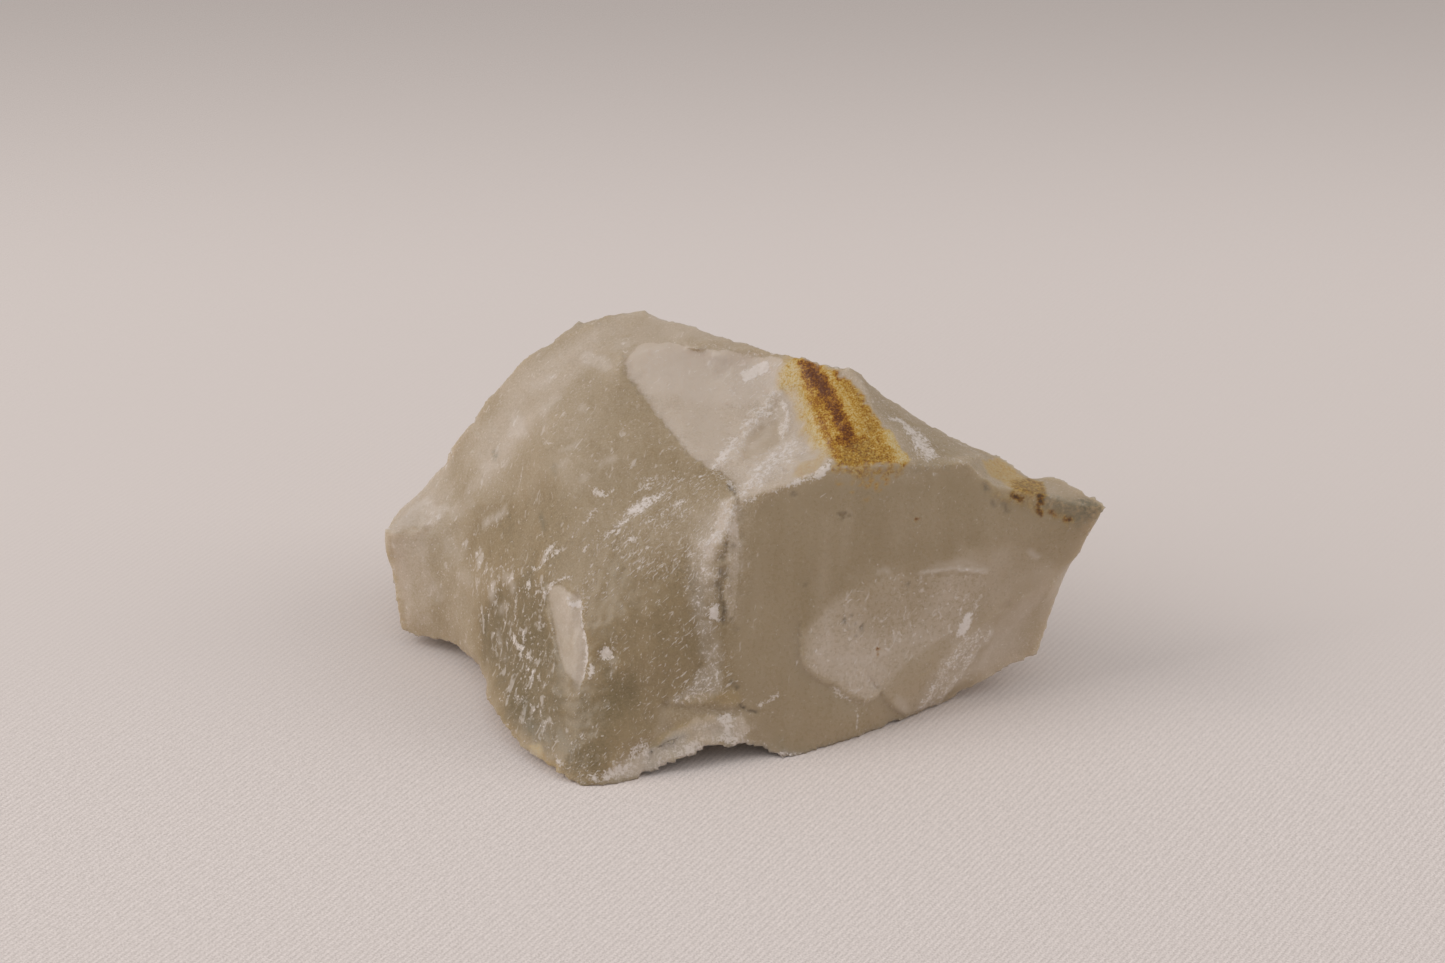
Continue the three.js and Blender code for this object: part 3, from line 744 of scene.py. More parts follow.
# Soft pale blotches under the west face, and a few dark ones.
BLOTCHES = (
    *streaks(
        "haze",
        (((588, 358), (600, 362), (607, 366)), 0.5, 0.9),
        (((617, 346), (628, 343)), 0.35, 0.7),
        (((545, 410), (556, 398)), 0.3, 0.7),
        (((536, 386), (550, 381)), 0.28, 0.8),
        (((582, 407), (584, 406)), 0.45, 0.5),
        (((575, 445), (563, 450)), 0.3, 0.45),
        (((487, 468), (496, 466)), 0.3, 0.7),
        (((468, 490), (475, 483)), 0.25, 0.8),
        (((601, 464), (610, 458)), 0.4, 0.4),
        (((562, 463), (565, 461)), 0.35, 0.4),
        (((582, 479), (586, 478)), 0.3, 0.4),
        (((487, 521), (495, 518), (504, 512)), 0.6, 0.5),
        (((455, 512), (470, 505)), 0.25, 0.8),
        (((488, 588), (490, 596)), 0.6, 0.45),
        (((505, 576), (513, 590)), 0.5, 0.55),
        (((502, 611), (506, 604)), 0.45, 0.45),
        (((499, 634), (501, 643)), 0.45, 0.35),
        (((506, 654), (506, 658)), 0.45, 0.3),
        (((436, 588), (440, 596)), 0.25, 0.9),
        (((464, 574), (468, 580)), 0.25, 0.8),
        (((452, 545), (458, 556)), 0.2, 1.0),
        soft=1.0, ragged=0.5,
    ),
    patch(
        (508, 436), (512, 412), (522, 415), (527, 436),
        haze=0.45, soft=1.0, ragged=0.4,
    ),
    patch(
        (388, 530), (410, 505), (430, 498), (440, 505), (450, 510), (436, 522), (425, 526),
        (415, 524), (400, 530),
        haze=0.55, soft=1.0, ragged=0.6, grain=2.0,
    ),
    *streaks(
        "frost",
        (((527, 583), (529, 590)), 0.8, 0.25),
        (((516, 606), (514, 620)), 0.66, 0.2),
        (((513, 634), (517, 645), (522, 650), (524, 640),
         (523, 633)), 0.75, 0.32),
        (((529, 654), (531, 662)), 0.68, 0.35),
        (((534, 671), (532, 677)), 0.75, 0.3),
        (((526, 667), (528, 670)), 0.7, 0.25),
        (((520, 655), (522, 657)), 0.7, 0.2),
        (((545, 590), (541, 605)), 0.62, 0.2),
        (((553, 752), (560, 765)), 0.7, 0.18),
        (((572, 744), (574, 750)), 0.66, 0.25),
        (((581, 734), (584, 745)), 0.62, 0.2),
        (((590, 776), (600, 782)), 0.6, 0.25),
        (((500, 697), (502, 702)), 0.62, 0.2),
        (((515, 697), (524, 700)), 0.62, 0.2),
    ),
    *streaks(
        "moss",
        (((495, 452), (495, 458)), 0.5, 0.4),
        (((541, 516), (545, 528)), 0.4, 0.35),
        (((552, 466.1), (554, 472)), 0.3, 0.3),
        soft=0.7,
    ),
)

# The ledge under the toe: creamy, stained and crushed, with a seam above it, and painted shade in
# the undercut below the seam and in a shallow pit.
LEDGE_WORK = (
    patch(
        (602, 783), (608, 769), (630, 756), (650, 746), (668, 733), (690, 723), (705, 717),
        (740, 713), (752, 728), (740, 741), (724, 741), (712, 747), (700, 752), (680, 757),
        (662, 768), (646, 776), (622, 780),
        pale=0.9, haze=0.26, iron=0.16, iron_depth=0.12, frost=0.3, fleck=0.3, soft=1.2, ragged=0.5,
        grain=1.6,
    ),
    patch(
        (700, 690), (738, 690), (742, 706), (702, 705), (672, 703),
        iron=0.26, iron_depth=0.2, soft=1.0, ragged=0.4,
    ),
    # painted shade: the undercut below the seam is painted darker
    patch(
        (660, 706), (740, 709), (752, 716), (705, 716), (690, 721), (668, 731), (655, 738),
        milk=0.35, frost=0.0, fleck=0.2, soft=1.0, ragged=0.4,
    ),
    step_down(
        (740, 708), (700, 706), (668, 703),
        width=1.6, soft=0.5, grain=1.2, height=-0.22,
    ),
    streak(
        (655, 742), (675, 731), (695, 722), (712, 718),
        iron=0.32, iron_depth=0.16, width=0.5, soft=0.8, ragged=0.4, patchy=0.3,
    ),
    streak(
        (690, 735), (700, 738), (712, 745),
        iron=0.3, iron_depth=0.2, width=0.6, soft=0.8, ragged=0.5, patchy=0.4,
    ),
    *streaks(
        "frost",
        (((632, 754), (640, 747), (646, 746)), 0.72, 0.6),
        (((606, 776), (616, 770), (626, 768)), 0.72, 0.5),
        (((690, 748), (700, 742)), 0.72, 0.5),
        (((722, 720), (730, 718), (728, 734)), 0.72, 0.6),
        (((716, 738), (726, 740), (738, 742)), 0.72, 0.4),
        soft=0.8, ragged=0.5, grain=0.9,
    ),
    # a shallow pit, hollowed, and painted darker inside as shade
    patch(
        (705, 732), (712, 726), (722, 728), (722, 736), (712, 738),
        milk=0.3, frost=0.0, soft=0.7, ragged=0.2, height=-0.25,
    ),
    streak(
        (741, 742), (778, 757), (798, 756),
        haze=0.3, frost=0.4, width=0.6, soft=0.9, ragged=0.5,
    ),
    streak(
        (760, 705), (768, 701), (777, 694), (778, 689),
        frost=0.66, iron=0.14, iron_depth=0.1, width=0.3,
    ),
    streak(
        (741, 706), (748, 710), (757, 712),
        soot=0.55, width=0.16, soft=0.25, ragged=0.2, height=-0.2,
    ),
    streak((524, 702), (530, 724), (537, 744), moss=0.3, width=0.3, soft=0.6),
    patch(
        (527, 746), (540, 742), (545, 750), (540, 757), (532, 752),
        iron=0.4, iron_depth=0.08, haze=0.2, soft=0.6, ragged=0.2,
    ),
    streak(
        (542, 756), (550, 766), (558, 771),
        iron=0.3, iron_depth=0.3, width=0.5, soft=0.7, ragged=0.4,
    ),
    patch(
        (-8.0, 1.2, 0.0), (-9.0, 7.0, 0.0), (-5.0, 12.0, 0.0), (4.0, 14.0, 0.0), (9.0, 9.0, 0.0),
        (5.0, 6.2, 0.0), (-3.0, 3.0, 0.0),
        soft=2.4, ragged=0.0, height=-2.6,
    ),
)

# Inside the scar: the crescent, whose bright line is partly a painted highlight, fine arcs and
# white torn edges.
SCAR_WORK = (
    step_down(
        *reversed(SCAR_FOOT), *reversed(SCAR_SIDE),
        haze=0.08, width=4.0, soft=0.3, ragged=0.1, height=-0.3,
    ),
    patch(
        (915, 575), (935, 571), (955, 570), (985, 571), (990, 569), (975, 561), (958, 558),
        (940, 562), (925, 568),
        haze=0.22, ragged=0.1,
    ),
    # the crescent ripple: a raised pale crest whose bright line is partly a painted highlight
    streak(
        (922, 574), (936, 571), (955, 569), (986, 571),
        haze=1.0, frost=0.3, width=0.16, ragged=0.08, height=0.16,
    ),
    patch(
        (1027, 551), (1032, 549), (1040, 556), (1037, 560), (1030, 557),
        haze=0.5, ragged=0.15,
    ),
    patch(
        (972, 609), (971, 620), (964, 634), (955, 637), (958, 626), (964, 617),
        frost=0.95, haze=0.4, soft=0.7, grain=1.0, height=0.2,
    ),
    streak(
        (974, 640), (960, 652), (948, 664), (938, 678), (929, 694), (922, 706),
        frost=0.85, haze=0.3, width=0.45, soft=0.9, ragged=0.5, grain=1.0, height=0.22,
    ),
    streak(
        (990, 632), (976, 650), (960, 672), (948, 688), (938, 702),
        haze=0.5, frost=0.4, width=0.6, soft=1.0, ragged=0.5, height=0.18,
    ),
    streak((978, 600), (974, 612), frost=0.5, width=0.35, soft=0.8),
    *streaks(
        "haze",
        (((960, 615), (905, 640), (862, 661)), 0.3, 0.16),
        (((955, 605), (890, 618), (840, 628)), 0.2, 0.2),
        (((962, 625), (915, 655), (888, 676)), 0.28, 0.18),
        (((950, 598), (880, 602), (845, 608)), 0.16, 0.2),
        (((852, 640), (846, 662), (840, 678)), 0.25, 0.16),
        (((872, 628), (866, 655), (866, 682)), 0.2, 0.16),
        soft=0.7, ragged=0.35, grain=1.2, patchy=0.6,
    ),
    patch(
        (990, 625), (975, 648), (962, 666), (948, 686), (932, 706), (912, 715), (920, 700),
        (928, 684), (938, 666), (950, 650), (962, 638), (974, 630),
        frost=0.42, haze=0.34, soft=1.4, ragged=0.6, grain=1.2, height=0.12, patchy=0.3,
    ),
    patch(
        (898, 697), (906, 700), (912, 712), (902, 713), (895, 705),
        haze=0.35, soft=0.7,
    ),
    streak(
        (862, 661), (880, 655), (905, 645), (935, 636),
        haze=0.3, width=0.12, soft=0.6, ragged=0.2,
    ),
    streak(
        (815, 665), (835, 660), (862, 657),
        haze=0.25, width=0.12, ragged=0.15,
    ),
    streak(
        (878, 572), (884, 568), (888, 572),
        haze=0.4, width=0.25, soft=0.4,
    ),
    streak(
        (858, 711), (859, 720), (857, 731),
        frost=0.7, width=0.14, soft=0.4, ragged=0.1,
    ),
    streak(
        (1040, 598), (1020, 618), (1000, 640), (980, 665),
        haze=0.22, width=0.2, soft=1.0, ragged=0.2,
    ),
)

# Pale sheets inside the clear stone that show through the south face.
VEILS = (
    streak((748, 520), (742, 580), (740, 620), milk=0.35, width=0.4, soft=1.0),
    streak(
        (768, 520), (758, 580), (752, 640),
        milk=0.26, width=0.4, soft=0.8, ragged=0.4,
    ),
    streak(
        (826, 520), (824, 570), (815, 610),
        milk=0.32, width=0.7, soft=1.0, ragged=0.5,
    ),
    streak((850, 515), (843, 560), milk=0.3, width=0.5, soft=1.0, ragged=0.5),
    patch(
        (880, 480), (1060, 520), (1060, 560), (960, 545), (890, 545),
        milk=0.26, soft=3.5, ragged=1.5, grain=5.0,
    ),
)

# The iron-stained vein, from its left border to its right one.
VEIN = (
    patch(
        (783, 359), (798, 359), (812, 392), (822, 420), (838, 457), (832, 458), (815, 450),
        (802, 430), (797, 402), (781, 385),
        iron=0.74, iron_depth=0.12, soft=2.6, ragged=0.6,
    ),
    patch(
        (797, 359), (848, 378), (862, 395), (886, 432), (907, 463), (893, 466), (838, 466),
        (834, 452), (822, 430), (811, 405), (802, 382),
        iron=0.92, iron_depth=0.38, frost=0.0, haze=0.0, soft=1.1, ragged=0.6, grain=1.0,
    ),
    streak(
        (801, 363), (809, 388), (818, 412), (827, 436), (838, 455),
        iron_depth=0.6, width=0.55, soft=0.9, ragged=0.5, grain=0.9,
    ),
    streak(
        (808, 362), (817, 377), (825, 392), (832, 405), (839, 416), (847, 430), (853, 442),
        iron_depth=0.84, width=1.05, soft=1.0, ragged=0.7, grain=0.9, height=-0.1, patchy=0.3,
    ),
    *streaks(
        "iron_depth",
        (((812, 372), (820, 384), (827, 394)), 1.15, 0.42),
        (((835, 408), (841, 418)), 1.15, 0.38),
        (((845, 428), (853, 436)), 1.15, 0.4),
        (((854, 452), (860, 457)), 1.15, 0.22),
        soft=0.7, ragged=0.4, grain=0.8,
    ),
    streak(
        (826, 366), (840, 388), (850, 410), (858, 432),
        iron_depth=0.28, width=0.4, soft=0.7, ragged=0.4,
    ),
    streak(
        (836, 374), (845, 381),
        iron_depth=0.72, width=0.4, soft=0.7, ragged=0.4, patchy=0.3,
    ),
    streak(
        (848, 384), (862, 402), (875, 428), (888, 456),
        iron_depth=0.5, moss=0.16, width=0.6, soft=0.9, ragged=0.5, patchy=0.2,
    ),
    patch(
        (842, 446), (868, 440), (892, 464), (838, 466),
        iron_depth=0.52, moss=0.3, soft=1.2, ragged=0.6, grain=0.9, patchy=0.3,
    ),
    patch(
        (884, 432), (890, 428), (898, 444), (909, 461), (901, 465), (892, 450),
        iron=0.8, iron_depth=0.1, moss=0.0, haze=0.25, ragged=0.2, height=0.12,
    ),
    # the same seam, fading down the back
    patch(
        (8.0, 34.0, 36.4), (13.4, 31.2, 36.1), (12.0, 32.8, 34.3), (11.0, 36.0, 31.6),
        (9.6, 39.3, 28.9), (5.6, 41.4, 29.1), (6.2, 39.5, 31.9), (7.0, 36.6, 34.7),
        iron=0.8, iron_depth=0.32, soft=1.8, ragged=0.9, grain=1.2,
    ),
    patch(
        (9.4, 39.4, 28.8), (5.8, 41.2, 29.0), (5.6, 42.9, 26.2), (8.4, 41.3, 26.1),
        iron=0.4, iron_depth=0.2, soft=2.4, ragged=1.0,
    ),
    streak(
        (10.2, 32.6, 36.2), (9.4, 35.0, 34.4), (8.8, 37.6, 31.8), (8.0, 40.2, 29.0),
        iron_depth=0.8, width=0.7, soft=1.1, ragged=0.7, grain=1.0, patchy=0.4,
    ),
)

# Stain that has run from the vein on to the south face, and the pocket at the right end.
STAIN = (
    streak(
        (838, 470), (865, 471), (900, 471),
        iron=0.6, iron_depth=0.5, moss=0.25, frost=0.0, width=0.6, soft=0.9, ragged=0.6, grain=0.9,
        patchy=0.4,
    ),
    streak((833, 466), (845, 468), (854, 466), frost=0.62, width=0.25),
    *streaks(
        "iron",
        (((840, 482), (862, 483), (885, 478)), 0.5, 0.4),
        (((852, 493), (880, 488)), 0.45, 0.35),
        (((846, 500), (872, 500)), 0.35, 0.2),
        (((872, 484), (890, 480)), 0.6, 0.3),
        iron_depth=0.5, soft=0.6, ragged=0.5, grain=0.8, patchy=0.8,
    ),
    streak(
        (900, 470), (930, 466), (975, 467),
        moss=0.22, frost=0.0, width=0.5, soft=0.8, ragged=0.4, patchy=0.5,
    ),
    patch(
        (982, 460), (998, 458), (1016, 468), (1026, 478), (1016, 490), (1000, 484), (988, 474),
        iron=0.5, iron_depth=0.28, soft=0.9, ragged=0.5, grain=1.2,
    ),
    patch(
        (1012, 482), (1030, 478), (1043, 482), (1046, 500), (1030, 500), (1012, 492),
        iron=0.7, iron_depth=0.5, moss=0.45, frost=0.0, soft=0.8, ragged=0.4,
    ),
    streak(
        (985, 488), (1010, 500), (1035, 506), (1070, 520),
        iron=0.36, iron_depth=0.4, moss=0.3, width=0.8, soft=1.2, ragged=0.6, patchy=0.4,
    ),
    streak(
        (1046, 500), (1075, 510), (1096, 514),
        moss=0.6, width=0.9, soft=1.2, ragged=0.4, patchy=0.3,
    ),
    patch(
        (1062, 506), (1078, 500), (1102, 506), (1080, 524),
        moss=0.55, soft=1.6, ragged=0.5,
    ),
    streak((1084, 502), (1100, 512), moss=0.7, width=0.7, soft=1.0),
    patch(
        (900, 424), (912, 426), (925, 436), (938, 452), (930, 460), (916, 459), (910, 444),
        frost=0.5, haze=0.1, iron=0.0, soft=1.0, ragged=0.6, grain=1.2, height=0.1,
    ),
    streak(
        (908, 428), (919, 442), (930, 455),
        frost=0.85, iron=0.0, width=0.7, soft=1.2, ragged=0.6, patchy=0.2,
    ),
    streak(
        (890, 418), (905, 422), (912, 430),
        frost=0.8, width=0.4, soft=0.8, ragged=0.4,
    ),
    streak((924, 423), (935, 429), (945, 435), frost=0.7, width=0.16),
    streak((958, 443), (972, 450), (985, 456), frost=0.7, width=0.2),
    streak(
        (935, 455), (950, 458), (962, 462),
        frost=0.58, width=0.3, soft=0.7, ragged=0.4, patchy=0.3,
    ),
    streak(
        (847, 372), (856, 380), (866, 392),
        haze=0.3, iron=0.0, width=0.5, soft=0.7,
    ),
)

# Dark and rusty pits and smears: line, radius, darkness and rust.
SPECKS = tuple(
    streak(*line, soot=dark, iron=rust, iron_depth=0.9, width=size, soft=0.4, ragged=0.25,
           grain=0.6, height=-0.12)
    for line, size, dark, rust in (
        (((984, 484), (987, 490)), 0.2, 0.3, 0.0),
        (((992, 500), (994, 506)), 0.2, 0.28, 0.0),
        (((1004, 504), (1006, 511)), 0.22, 0.28, 0.0),
        (((1014, 496), (1021, 500)), 0.28, 0.5, 0.9),
        (((1040, 494), (1041, 503)), 0.26, 0.34, 0.9),
        (((1038, 508), (1041, 512)), 0.24, 0.4, 0.9),
        (((1050, 510), (1055, 516)), 0.2, 0.12, 0.7),
        (((1066, 519), (1071, 521)), 0.24, 0.22, 0.8),
        (((845, 620), (846, 623)), 0.13, 0.5, 0.0),
        (((853, 616),), 0.12, 0.45, 0.0),
        (((861, 627), (862, 631)), 0.14, 0.5, 0.0),
        (((856, 624),), 0.1, 0.4, 0.0), (((850, 627),), 0.1, 0.4, 0.0),
        (((857, 636),), 0.1, 0.3, 0.0),
        (((909, 584), (911, 585)), 0.13, 0.7, 0.0),
        (((878, 649), (877, 655)), 0.18, 0.1, 0.8),
        (((793, 493), (797, 495)), 0.14, 0.35, 0.0),
        (((840, 515), (846, 513)), 0.12, 0.4, 0.3),
        (((842, 518), (850, 516)), 0.1, 0.3, 0.3),
        (((916, 520), (920, 519)), 0.16, 0.1, 0.7),
        (((726, 543), (730, 547), (733, 545)), 0.16, 0.29, 0.0),
        (((722, 557), (724, 561)), 0.16, 0.34, 0.0),
        (((726, 566), (729, 570)), 0.15, 0.29, 0.0),
        (((721, 572), (724, 576)), 0.15, 0.34, 0.0),
        (((728, 574), (730, 578)), 0.13, 0.26, 0.0),
        (((718, 583), (720, 589)), 0.2, 0.38, 0.0),
        (((720, 597), (723, 602)), 0.15, 0.38, 0.0),
        (((724, 604), (725, 609)), 0.17, 0.41, 0.0),
        (((722, 611), (726, 614)), 0.16, 0.45, 0.0),
        (((721, 616), (723, 619)), 0.14, 0.38, 0.0),
        (((724, 621), (730, 619)), 0.14, 0.41, 0.0),
        (((734, 625), (736, 628)), 0.1, 0.3, 0.0),
        (((731, 681), (735, 685), (738, 687)), 0.13, 0.5, 0.0),
        (((726, 677),), 0.12, 0.35, 0.0),
        (((805, 586), (807, 589)), 0.1, 0.3, 0.0),
    )
)
# Where the stone's edges are worn round: a place and how far it reaches.
WORN = (
    ((-11.5, 42.5, 38.0), 3.5), ((-36.0, 38.0, 13.0), 3.0), ((7.4, 30.9, 35.2), 2.4),
)
MARKS = (
    *TONES, *VEILS, *BLOTCHES, *BENCH_WORK, *RIDGE_WORK, *SCRAPES, *LEDGE_WORK, *SCAR_WORK,
    *VEIN, *STAIN, *SPECKS,
)


# ---- the mesh ------------------------------------------------------------------------------


@dataclass
class Skin:
    """The fine mesh of the stone, in millimetres in the layout's own frame."""

    points: np.ndarray
    corners: np.ndarray
    edges: np.ndarray

    def outward(self) -> np.ndarray:
        """The unit direction out of the stone at each point.

        Returns:
            One vector per point.
        """
        a, b, c, d = (self.points[self.corners[:, n]] for n in range(4))
        across = np.cross(c - a, d - b)
        total = np.zeros_like(self.points)
        for axis, n in product(range(3), range(4)):
            weights = across[:, axis]
            total[:, axis] += np.bincount(self.corners[:, n], weights, len(self.points))
        return unit(total)

    def neighbour_mean(self, values: np.ndarray) -> np.ndarray:
        """The mean of the neighbours' values at each point.

        Args:
            values: one row per point.

        Returns:
            An array of the same shape.
        """
        a, b = self.edges.T
        count = len(self.points)
        ties = np.bincount(a, minlength=count) + np.bincount(b, minlength=count)
        columns = [
            (np.bincount(a, column[b], count) + np.bincount(b, column[a], count)) / ties
            for column in values.reshape(count, -1).T
        ]
        return np.stack(columns, axis=1).reshape(values.shape)


def rows_of(
    items: bpy.types.bpy_prop_collection, name: str, columns: int, kind: type
) -> np.ndarray:
    """Reads one property of all of a mesh's items.

    Args:
        items: the mesh's points, edges or the like.
        name: the property.
        columns: how many numbers each item has.
        kind: the type of the numbers.

    Returns:
        One row per item.
    """
    flat = np.zeros(len(items) * columns, kind)
    items.foreach_get(name, flat)
    return flat.reshape(-1, columns)


class SeenStone:
    """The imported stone's triangles, on which spots of the image are laid."""

    def __init__(self, source: bpy.types.Object) -> None:
        """Reads the triangles, in the layout's frame.

        Args:
            source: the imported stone.
        """
        source.data.calc_loop_triangles()
        places = rows_of(source.data.vertices, "co", 3, np.float32).astype(float)
        places = places / MM + LAYOUT_ORIGIN
        faces = rows_of(source.data.loop_triangles, "vertices", 3, np.int32)
        self.corners = places[faces[:, 0]]
        self.first_sides = places[faces[:, 1]] - self.corners
        self.second_sides = places[faces[:, 2]] - self.corners
        self.eye = VIEWPOINT.place()

    def lay(self, points: tuple[Place, ...]) -> np.ndarray:
        """Turns a mark's points into places on the stone.

        Args:
            points: spots of the image, or places that are kept as they are.

        Returns:
            One place per row, to a tenth of a millimetre.
        """
        return np.array([self._under(p) if len(p) == 2 else np.array(p, float) for p in points])

    def _under(self, spot: Spot) -> np.ndarray:
        """The nearest place of the stone on the line of sight through a spot.

        Args:
            spot: column and row of the image.

        Returns:
            The place.
        """
        way = VIEWPOINT.way_to(spot)
        across = np.cross(way, self.second_sides)
        slant = np.einsum("ij,ij->i", self.first_sides, across)
        slant = np.where(np.abs(slant) < TINY, TINY, slant)
        offset = self.eye - self.corners
        first_share = np.einsum("ij,ij->i", offset, across) / slant
        turned = np.cross(offset, self.first_sides)
        second_share = turned @ way / slant
        far = np.einsum("ij,ij->i", self.second_sides, turned) / slant
        hit = (first_share >= 0.0) & (second_share >= 0.0) & (first_share + second_share <= 1.0)
        hit &= far > 0.0
        if not hit.any():
            raise ValueError(f"no stone is seen at {spot}")
        return np.round(self.eye + way * far[hit].min(), 1)


def seeded(seed: int) -> Noise:
    """A dataclass field that holds a noise of its own."""
    return field(default_factory=lambda: Noise(seed))


@dataclass
class StoneSkin:
    """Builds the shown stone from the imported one: fine mesh, eased facets, relief and marks.

    Lengths are in millimetres. A pair of numbers is where a smooth rise starts and ends.
    """

    weld: float = 0.001
    voxel: float = 0.375
    rim_angle: float = 24.0
    rim_spacing: float = 0.3
    rim_clear: tuple[float, float] = (0.1, 1.6)
    rim_layer: tuple[float, float] = (0.9, 0.0)
    ease_rounds: int = 37
    ease_step: float = 0.6
    chip_size: float = 2.6
    chip_depth: float = 0.22
    chip_noise: tuple[float, float] = (0.25, 0.6)
    chip_reach: tuple[float, float] = (1.0, 0.1)
    # painted glow: the milk layer is raised near the rims, so the thin edges look lit through
    edge_glow_reach: float = 2.0
    edge_glow_milk: float = 0.06
    grain_size: float = 1.1
    grain_depth: float = 0.13
    swell_size: float = 4.5
    swell_depth: float = 0.16
    swell_everywhere: float = 0.3
    facet_wander: float = 4.0
    facet_blend: float = 0.8
    facet_turn: float = 6.0
    facet_slack: float = 2.5
    facet_off_share: float = 0.5
    mark_reach: float = 6.0
    patch_facing: tuple[float, float] = (0.2, 0.5)
    patch_off: tuple[float, float] = (4.0, 2.5)
    hole_noise: tuple[float, float] = (-0.25, 0.25)
    hole_size: float = 0.6
    facet_borders: Noise = seeded(11)
    grain: Noise = seeded(21)
    swell: Noise = seeded(22)
    chips: Noise = seeded(23)
    mark_borders: Noise = seeded(31)
    mark_holes: Noise = seeded(32)

    def build(self, source: bpy.types.Object) -> bpy.types.Object:
        """Makes the shown stone.

        Args:
            source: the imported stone.

        Returns:
            The new object, in metres, in the frame's own axes.
        """
        rims = self._rim_samples(source)
        skin, mesh = self._remesh(source)
        rim_distance = self._distance_to_rims(skin.points, rims)
        freedom = self.ease_step * smoothstep(*self.rim_clear, rim_distance)[:, None]
        for _ in range(self.ease_rounds):
            skin.points += freedom * (skin.neighbour_mean(skin.points) - skin.points)
        outward = skin.outward()
        layers = self._facet_layers(skin.points, outward)
        # painted glow: lighter near the rims, as if light shone through the thin edges
        layers[Layer.MILK.value] += self.edge_glow_milk * np.exp(-rim_distance / self.edge_glow_reach)
        layers[Layer.RIM.value] = smoothstep(*self.rim_layer, rim_distance)
        height = self._relief(skin.points, layers, rim_distance)
        height += self._apply_marks(SeenStone(source), skin, outward, layers)
        skin.points += outward * height[:, None]
        return self._to_object(mesh, skin, layers)

    def _rim_samples(self, source: bpy.types.Object) -> np.ndarray:
        """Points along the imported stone's sharp edges, valleys and worn places left out.

        Args:
            source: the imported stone.

        Returns:
            Points in the layout's frame.
        """
        places = np.round(rows_of(source.data.vertices, "co", 3, np.float32) / MM, 3)
        unique, names = np.unique(places, axis=0, return_inverse=True)
        source.data.calc_loop_triangles()
        faces = names.reshape(-1)[rows_of(source.data.loop_triangles, "vertices", 3, np.int32)]
        a, b, c = (unique[faces[:, n]] for n in range(3))
        normals = unit(np.cross(b - a, c - a))
        middles = (a + b + c) / 3.0
        owner: dict[tuple[int, int], int] = {}
        sharp = []
        limit = math.cos(math.radians(self.rim_angle))
        for face, ring in enumerate(faces.tolist()):
            for start, end in zip(ring, ring[1:] + ring[:1]):
                other = owner.pop((end, start), None)
                if other is None:
                    owner[(start, end)] = face
                    continue
                valley = float(normals[face] @ (middles[other] - middles[face])) > 0.0
                if not valley and float(normals[face] @ normals[other]) < limit:
                    sharp.append((unique[start], unique[end]))
        rims = []
        for start, end in sharp:
            steps = max(2, int(np.linalg.norm(end - start) / self.rim_spacing))
            share = np.linspace(0.0, 1.0, steps)[:, None]
            rims.append(start + share * (end - start))
        places = np.concatenate(rims) + LAYOUT_ORIGIN
        for worn, reach in WORN:
            places = places[np.linalg.norm(places - worn, axis=1) > reach]
        return places

    def _remesh(self, source: bpy.types.Object) -> tuple[Skin, bpy.types.Mesh]:
        """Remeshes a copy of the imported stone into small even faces.

        Args:
            source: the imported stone.

        Returns:
            The skin as numbers, and the mesh that carries its faces.
        """
        coarse = source.data.copy()
        coarse.transform(Matrix.Scale(1 / MM, 4))
        helper = bpy.data.objects.new("coarse_stone", coarse)
        bpy.context.scene.collection.objects.link(helper)
        weld = helper.modifiers.new("weld", "WELD")
        weld.merge_threshold = self.weld
        remesh = helper.modifiers.new("remesh", "REMESH")
        remesh.mode = "VOXEL"
        remesh.voxel_size = self.voxel
        graph = bpy.context.evaluated_depsgraph_get()
        mesh = bpy.data.meshes.new_from_object(helper.evaluated_get(graph))
        bpy.data.objects.remove(helper)
        log.info("remeshed skin: %d points, %d faces", len(mesh.vertices), len(mesh.polygons))
        places = rows_of(mesh.vertices, "co", 3, np.float64) + LAYOUT_ORIGIN
        corners = rows_of(mesh.loops, "vertex_index", 1, np.int32).reshape(-1, 4)
        return Skin(places, corners, rows_of(mesh.edges, "vertices", 2, np.int32)), mesh

    def _distance_to_rims(self, points: np.ndarray, rims: np.ndarray) -> np.ndarray:
        """Distance of each point from the nearest sharp edge.

        Args:
            points: places on the skin.
            rims: points along the sharp edges.

        Returns:
            One distance per point.
        """
        tree = KDTree(len(rims))
        for index, place in enumerate(rims):
            tree.insert(place, index)
        tree.balance()
        return np.array([tree.find(place)[2] for place in points])

    def _facet_layers(self, points: np.ndarray, outward: np.ndarray) -> dict[str, np.ndarray]:
        """What each facet gives the skin, blended softly where two facets meet.

        Args:
            points: places on the skin.
            outward: direction out of the stone at each.

        Returns:
            One array per layer.
        """
        wander = self.facet_borders.layered(points, self.facet_wander)
        total = np.full(len(points), 1e-9)  # never 0, because the layers are divided by it
        layers = {layer.value: np.zeros(len(points)) for layer in Layer}
        for facet in FACETS:
            outline = Outline(np.array(facet.outline, float))
            turn = 1.0 - outward @ outline.normal
            gap = np.maximum(0.0, -outline.depth_inside(points) + wander)
            off = np.maximum(0.0, outline.distance_off(points) - self.facet_slack)
            gap += self.facet_off_share * off
            weight = np.exp(-((gap / self.facet_blend) ** 2) / 2 - self.facet_turn * turn**2)
            weight = np.maximum(weight, 1e-7 * np.exp(-gap))  # far off, the nearest facet counts
            total += weight
            for layer, value in facet.paint().items():
                layers[layer.value] += weight * value
        return {name: values / total for name, values in layers.items()}

